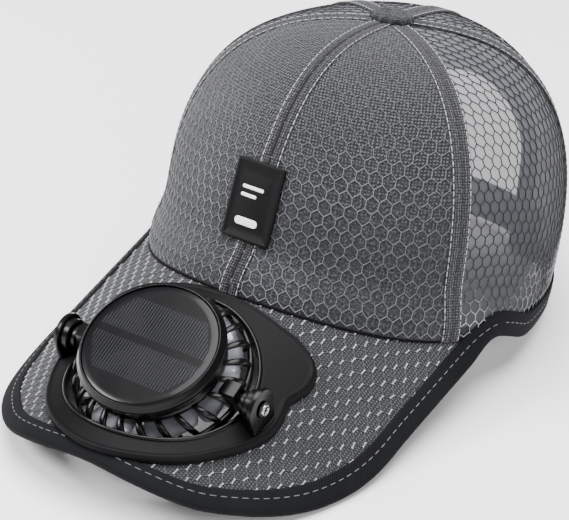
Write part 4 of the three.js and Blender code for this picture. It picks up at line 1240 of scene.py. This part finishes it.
def spoke(turn, sign):
    def place(outline, x):
        c, s = math.cos(turn), math.sin(turn)
        across, up = outline.T
        return fan_frame(stacked(sign * x * c - across * s, sign * x * s + across * c, up))
    return extruded(SPOKE, [(6.0, 0), (20.0, 0), (33.0, 0)], place)


spokes = [spoke(turn * DEG, sign) for turn in (45, 135) for sign in (1, -1)]
joined("guard_spokes", spokes, rides="fan", sharp=30, **HOUSING_LOOKS)
turned("guard_hub", [
    (0.05, -5.2), (6.2, -5.2), (6.8, -5.0), (7.0, -4.6), (7.0, -3.6), (6.8, -3.4), (0.05, -3.4),
], sides=64, **HOUSING_LOOKS)

# Arms from the drum to the pivots, and the pins outside the ears: a low dark cap and a bright ring
ARM = np.array([(-3.4, -2.2), (3.4, -2.2), (3.6, -1.0), (3.6, 5.6), (3.0, 7.2), (-3.0, 7.2), (-3.6, 5.6),
                (-3.6, -1.0)])
ARM_LEVELS = [(29.3, 0.3), (29.8, 0), (35.6, 0), (36.1, 0.4)]
STUB = [(33.0, 3.4), (37.2, 3.4), (37.3, 4.3), (37.6, 4.7), (38.9, 4.7), (39.3, 4.4), (39.4, 2.4),
        (45.2, 2.4)]
CAP = [(45.3, 0.05), (45.3, 3.1), (45.45, 3.35), (45.8, 3.4), (46.05, 3.2), (46.15, 2.6), (46.15, 1.2),
       (45.9, 1.1), (45.9, 0.05)]
BRIGHT = [(45.95, 1.15), (46.5, 1.2), (46.72, 1.4), (46.78, 1.75), (46.72, 2.1), (46.5, 2.3), (45.95, 2.35)]
arms = []
for sign, _ in SIDES:
    arms += [extruded(ARM, ARM_LEVELS, crosswise(fan_frame, sign)), pin(sign, STUB)]
joined("pivot_arms", arms, rides="fan", sharp=35, **HOUSING_LOOKS)
for sign, side in SIDES:
    new_mesh("pivot_cap_" + side, *pin(sign, CAP), HOUSING, slot="steel", rides="fan", sharp=35,
             replaces="pivot_knob_" + side)
    new_mesh("pivot_ring_" + side, *pin(sign, BRIGHT), STEEL, slot="steel", rides="fan", sharp=60)

# Motor
turned("motor_can", [
    (0.05, -1.8), (0.9, -1.8), (1.0, -1.6), (1.0, 4.4), (3.0, 4.5), (3.2, 5.0), (8.4, 5.0), (8.9, 5.3),
    (9.0, 5.8), (9.0, 10.0), (8.8, 10.35), (0.05, 10.35),
], STEEL, "steel", 64, replaces="fan_motor")

# Impeller
HUB_R, BLADES, BLADE_R = 6.5, 7, 31.0
ROOT_CHORD, TIP_CHORD = 9, 27
ROOT_PITCH, TIP_PITCH = 30, 9
TIP_START, TIP_CUT = 0.9, 1.4


def blade(turn):
    """Cambered blade, closed along its edges and at the tip. Its open root is inside the hub."""
    t = np.linspace(0, 1, 13)[:, None]
    s = np.linspace(-0.5, 0.5, 11)
    r = (HUB_R - 0.6) * (1 - t) + BLADE_R * t
    pitch = (ROOT_PITCH + (TIP_PITCH - ROOT_PITCH) * t) * DEG
    along = s * (ROOT_CHORD + (TIP_CHORD - ROOT_CHORD) * t) * (1 - np.maximum(0, t - TIP_START) * TIP_CUT)
    angle = turn + along * np.cos(pitch) / np.maximum(r, 9.0)
    camber = (0.9 - 0.4 * t) * (1 - (2 * s) ** 2)
    height = along * np.sin(pitch) + camber + 0.1 - 0.7 * t
    thick = 0.5 * (1 - (2 * s) ** 4) + 0.08
    x, y = r * np.cos(angle), r * np.sin(angle)
    points = [fan_frame(stacked(x, y, height + face * thick)).reshape(-1, 3) for face in (1, -1)]
    n, m = x.shape
    k = n * m
    faces = two_sides(n, m)
    for i in range(n - 1):
        for a in (i * m, i * m + m - 1):
            faces.append((a + k, a + m + k, a + m, a))
    for a in range(k - m, k - 1):
        faces.append((a, a + 1, a + 1 + k, a + k))
    return np.concatenate(points), faces


blades = [blade(k / BLADES * 2 * math.pi) for k in range(BLADES)]
joined("impeller_blades", blades, BLADE, slot="blade_plastic", rides="impeller", replaces="fan_impeller")
turned("impeller_hub", [
    (1.3, -2.4), (5.9, -2.4), (6.4, -2.1), (HUB_R, -1.6), (HUB_R, 2.4), (6.3, 2.9), (5.8, 3.2), (1.3, 3.2),
    (1.3, -2.4),
], BLADE, "blade_plastic", 64, rides="impeller")


# Studio

def area(name, location, target, size, energy):
    light = bpy.data.lights.new(name, "AREA")
    light.shape = "DISK"
    light.size = size
    light.energy = energy
    obj = link(name, light)
    obj.location = location
    obj.rotation_euler = (Vector(target) - Vector(location)).to_track_quat("-Z", "Y").to_euler()


floor_mat = Nodes("floor_pale", 0.9, 0.1)
patches = floor_mat.noise(floor_mat.coords("Object"), 2.0, 1.0)
floor_mat.color(patches, (0.3, (0.95, 0.95, 0.95, 1)), (0.7, (0.97, 0.97, 0.97, 1)))
mesh = bpy.data.meshes.new("studio_floor")
mesh.from_pydata([(-6, -6, 0), (6, -6, 0), (6, 6, 0), (-6, 6, 0)], [], [(0, 1, 2, 3)])
mesh.materials.append(floor_mat.mat)
link("studio_floor", mesh)

world = bpy.data.worlds.new("studio_air")
world.use_nodes = True
air = world.node_tree.nodes["Background"].inputs
air["Color"].default_value = (1, 1, 1, 1)
air["Strength"].default_value = 0.35
bpy.context.scene.world = world
area("key_light", (-0.75, -0.65, 0.85), (0, 0, 0.05), 0.5, 20)
area("fill_light", (0.9, -0.55, 0.55), (0, 0, 0.05), 0.7, 7)
area("top_light", (0.0, 0.1, 1.9), (0, 0, 0), 1.9, 105)


# Camera, measured in the hem's frame

AZIMUTH, ELEVATION, ROLL = 29.483 * DEG, 22.002 * DEG, 7.629 * DEG
FOCAL_PX, FRAME_PX, DISTANCE, SENSOR = 2090.724, 569, 900, 36
AIM = np.array([-30.312, 0.0, -2.679])
right = np.array([math.cos(AZIMUTH), math.sin(AZIMUTH), 0])
level = math.cos(ELEVATION)
back = np.array([right[1] * level, -right[0] * level, math.sin(ELEVATION)])
upward = np.cross(back, right)
cam_right = right * math.cos(ROLL) + upward * math.sin(ROLL)
cam_up = -right * math.sin(ROLL) + upward * math.cos(ROLL)
eye = rest(AIM + back * DISTANCE)
turn = Matrix.Rotation(REST_PITCH, 3, "X")
camera = bpy.data.cameras.new("photo_camera")
camera.sensor_width = SENSOR
camera.sensor_fit = "HORIZONTAL"
camera.lens = FOCAL_PX / FRAME_PX * SENSOR
camera.clip_end = 50
cam = link("photo_camera", camera)
rotation = Matrix([turn @ Vector(v) for v in (cam_right, cam_up, back)]).transposed()
cam.matrix_world = Matrix.Translation(Vector(eye)) @ rotation.to_4x4()
bpy.context.scene.camera = cam

bpy.context.view_layer.update()
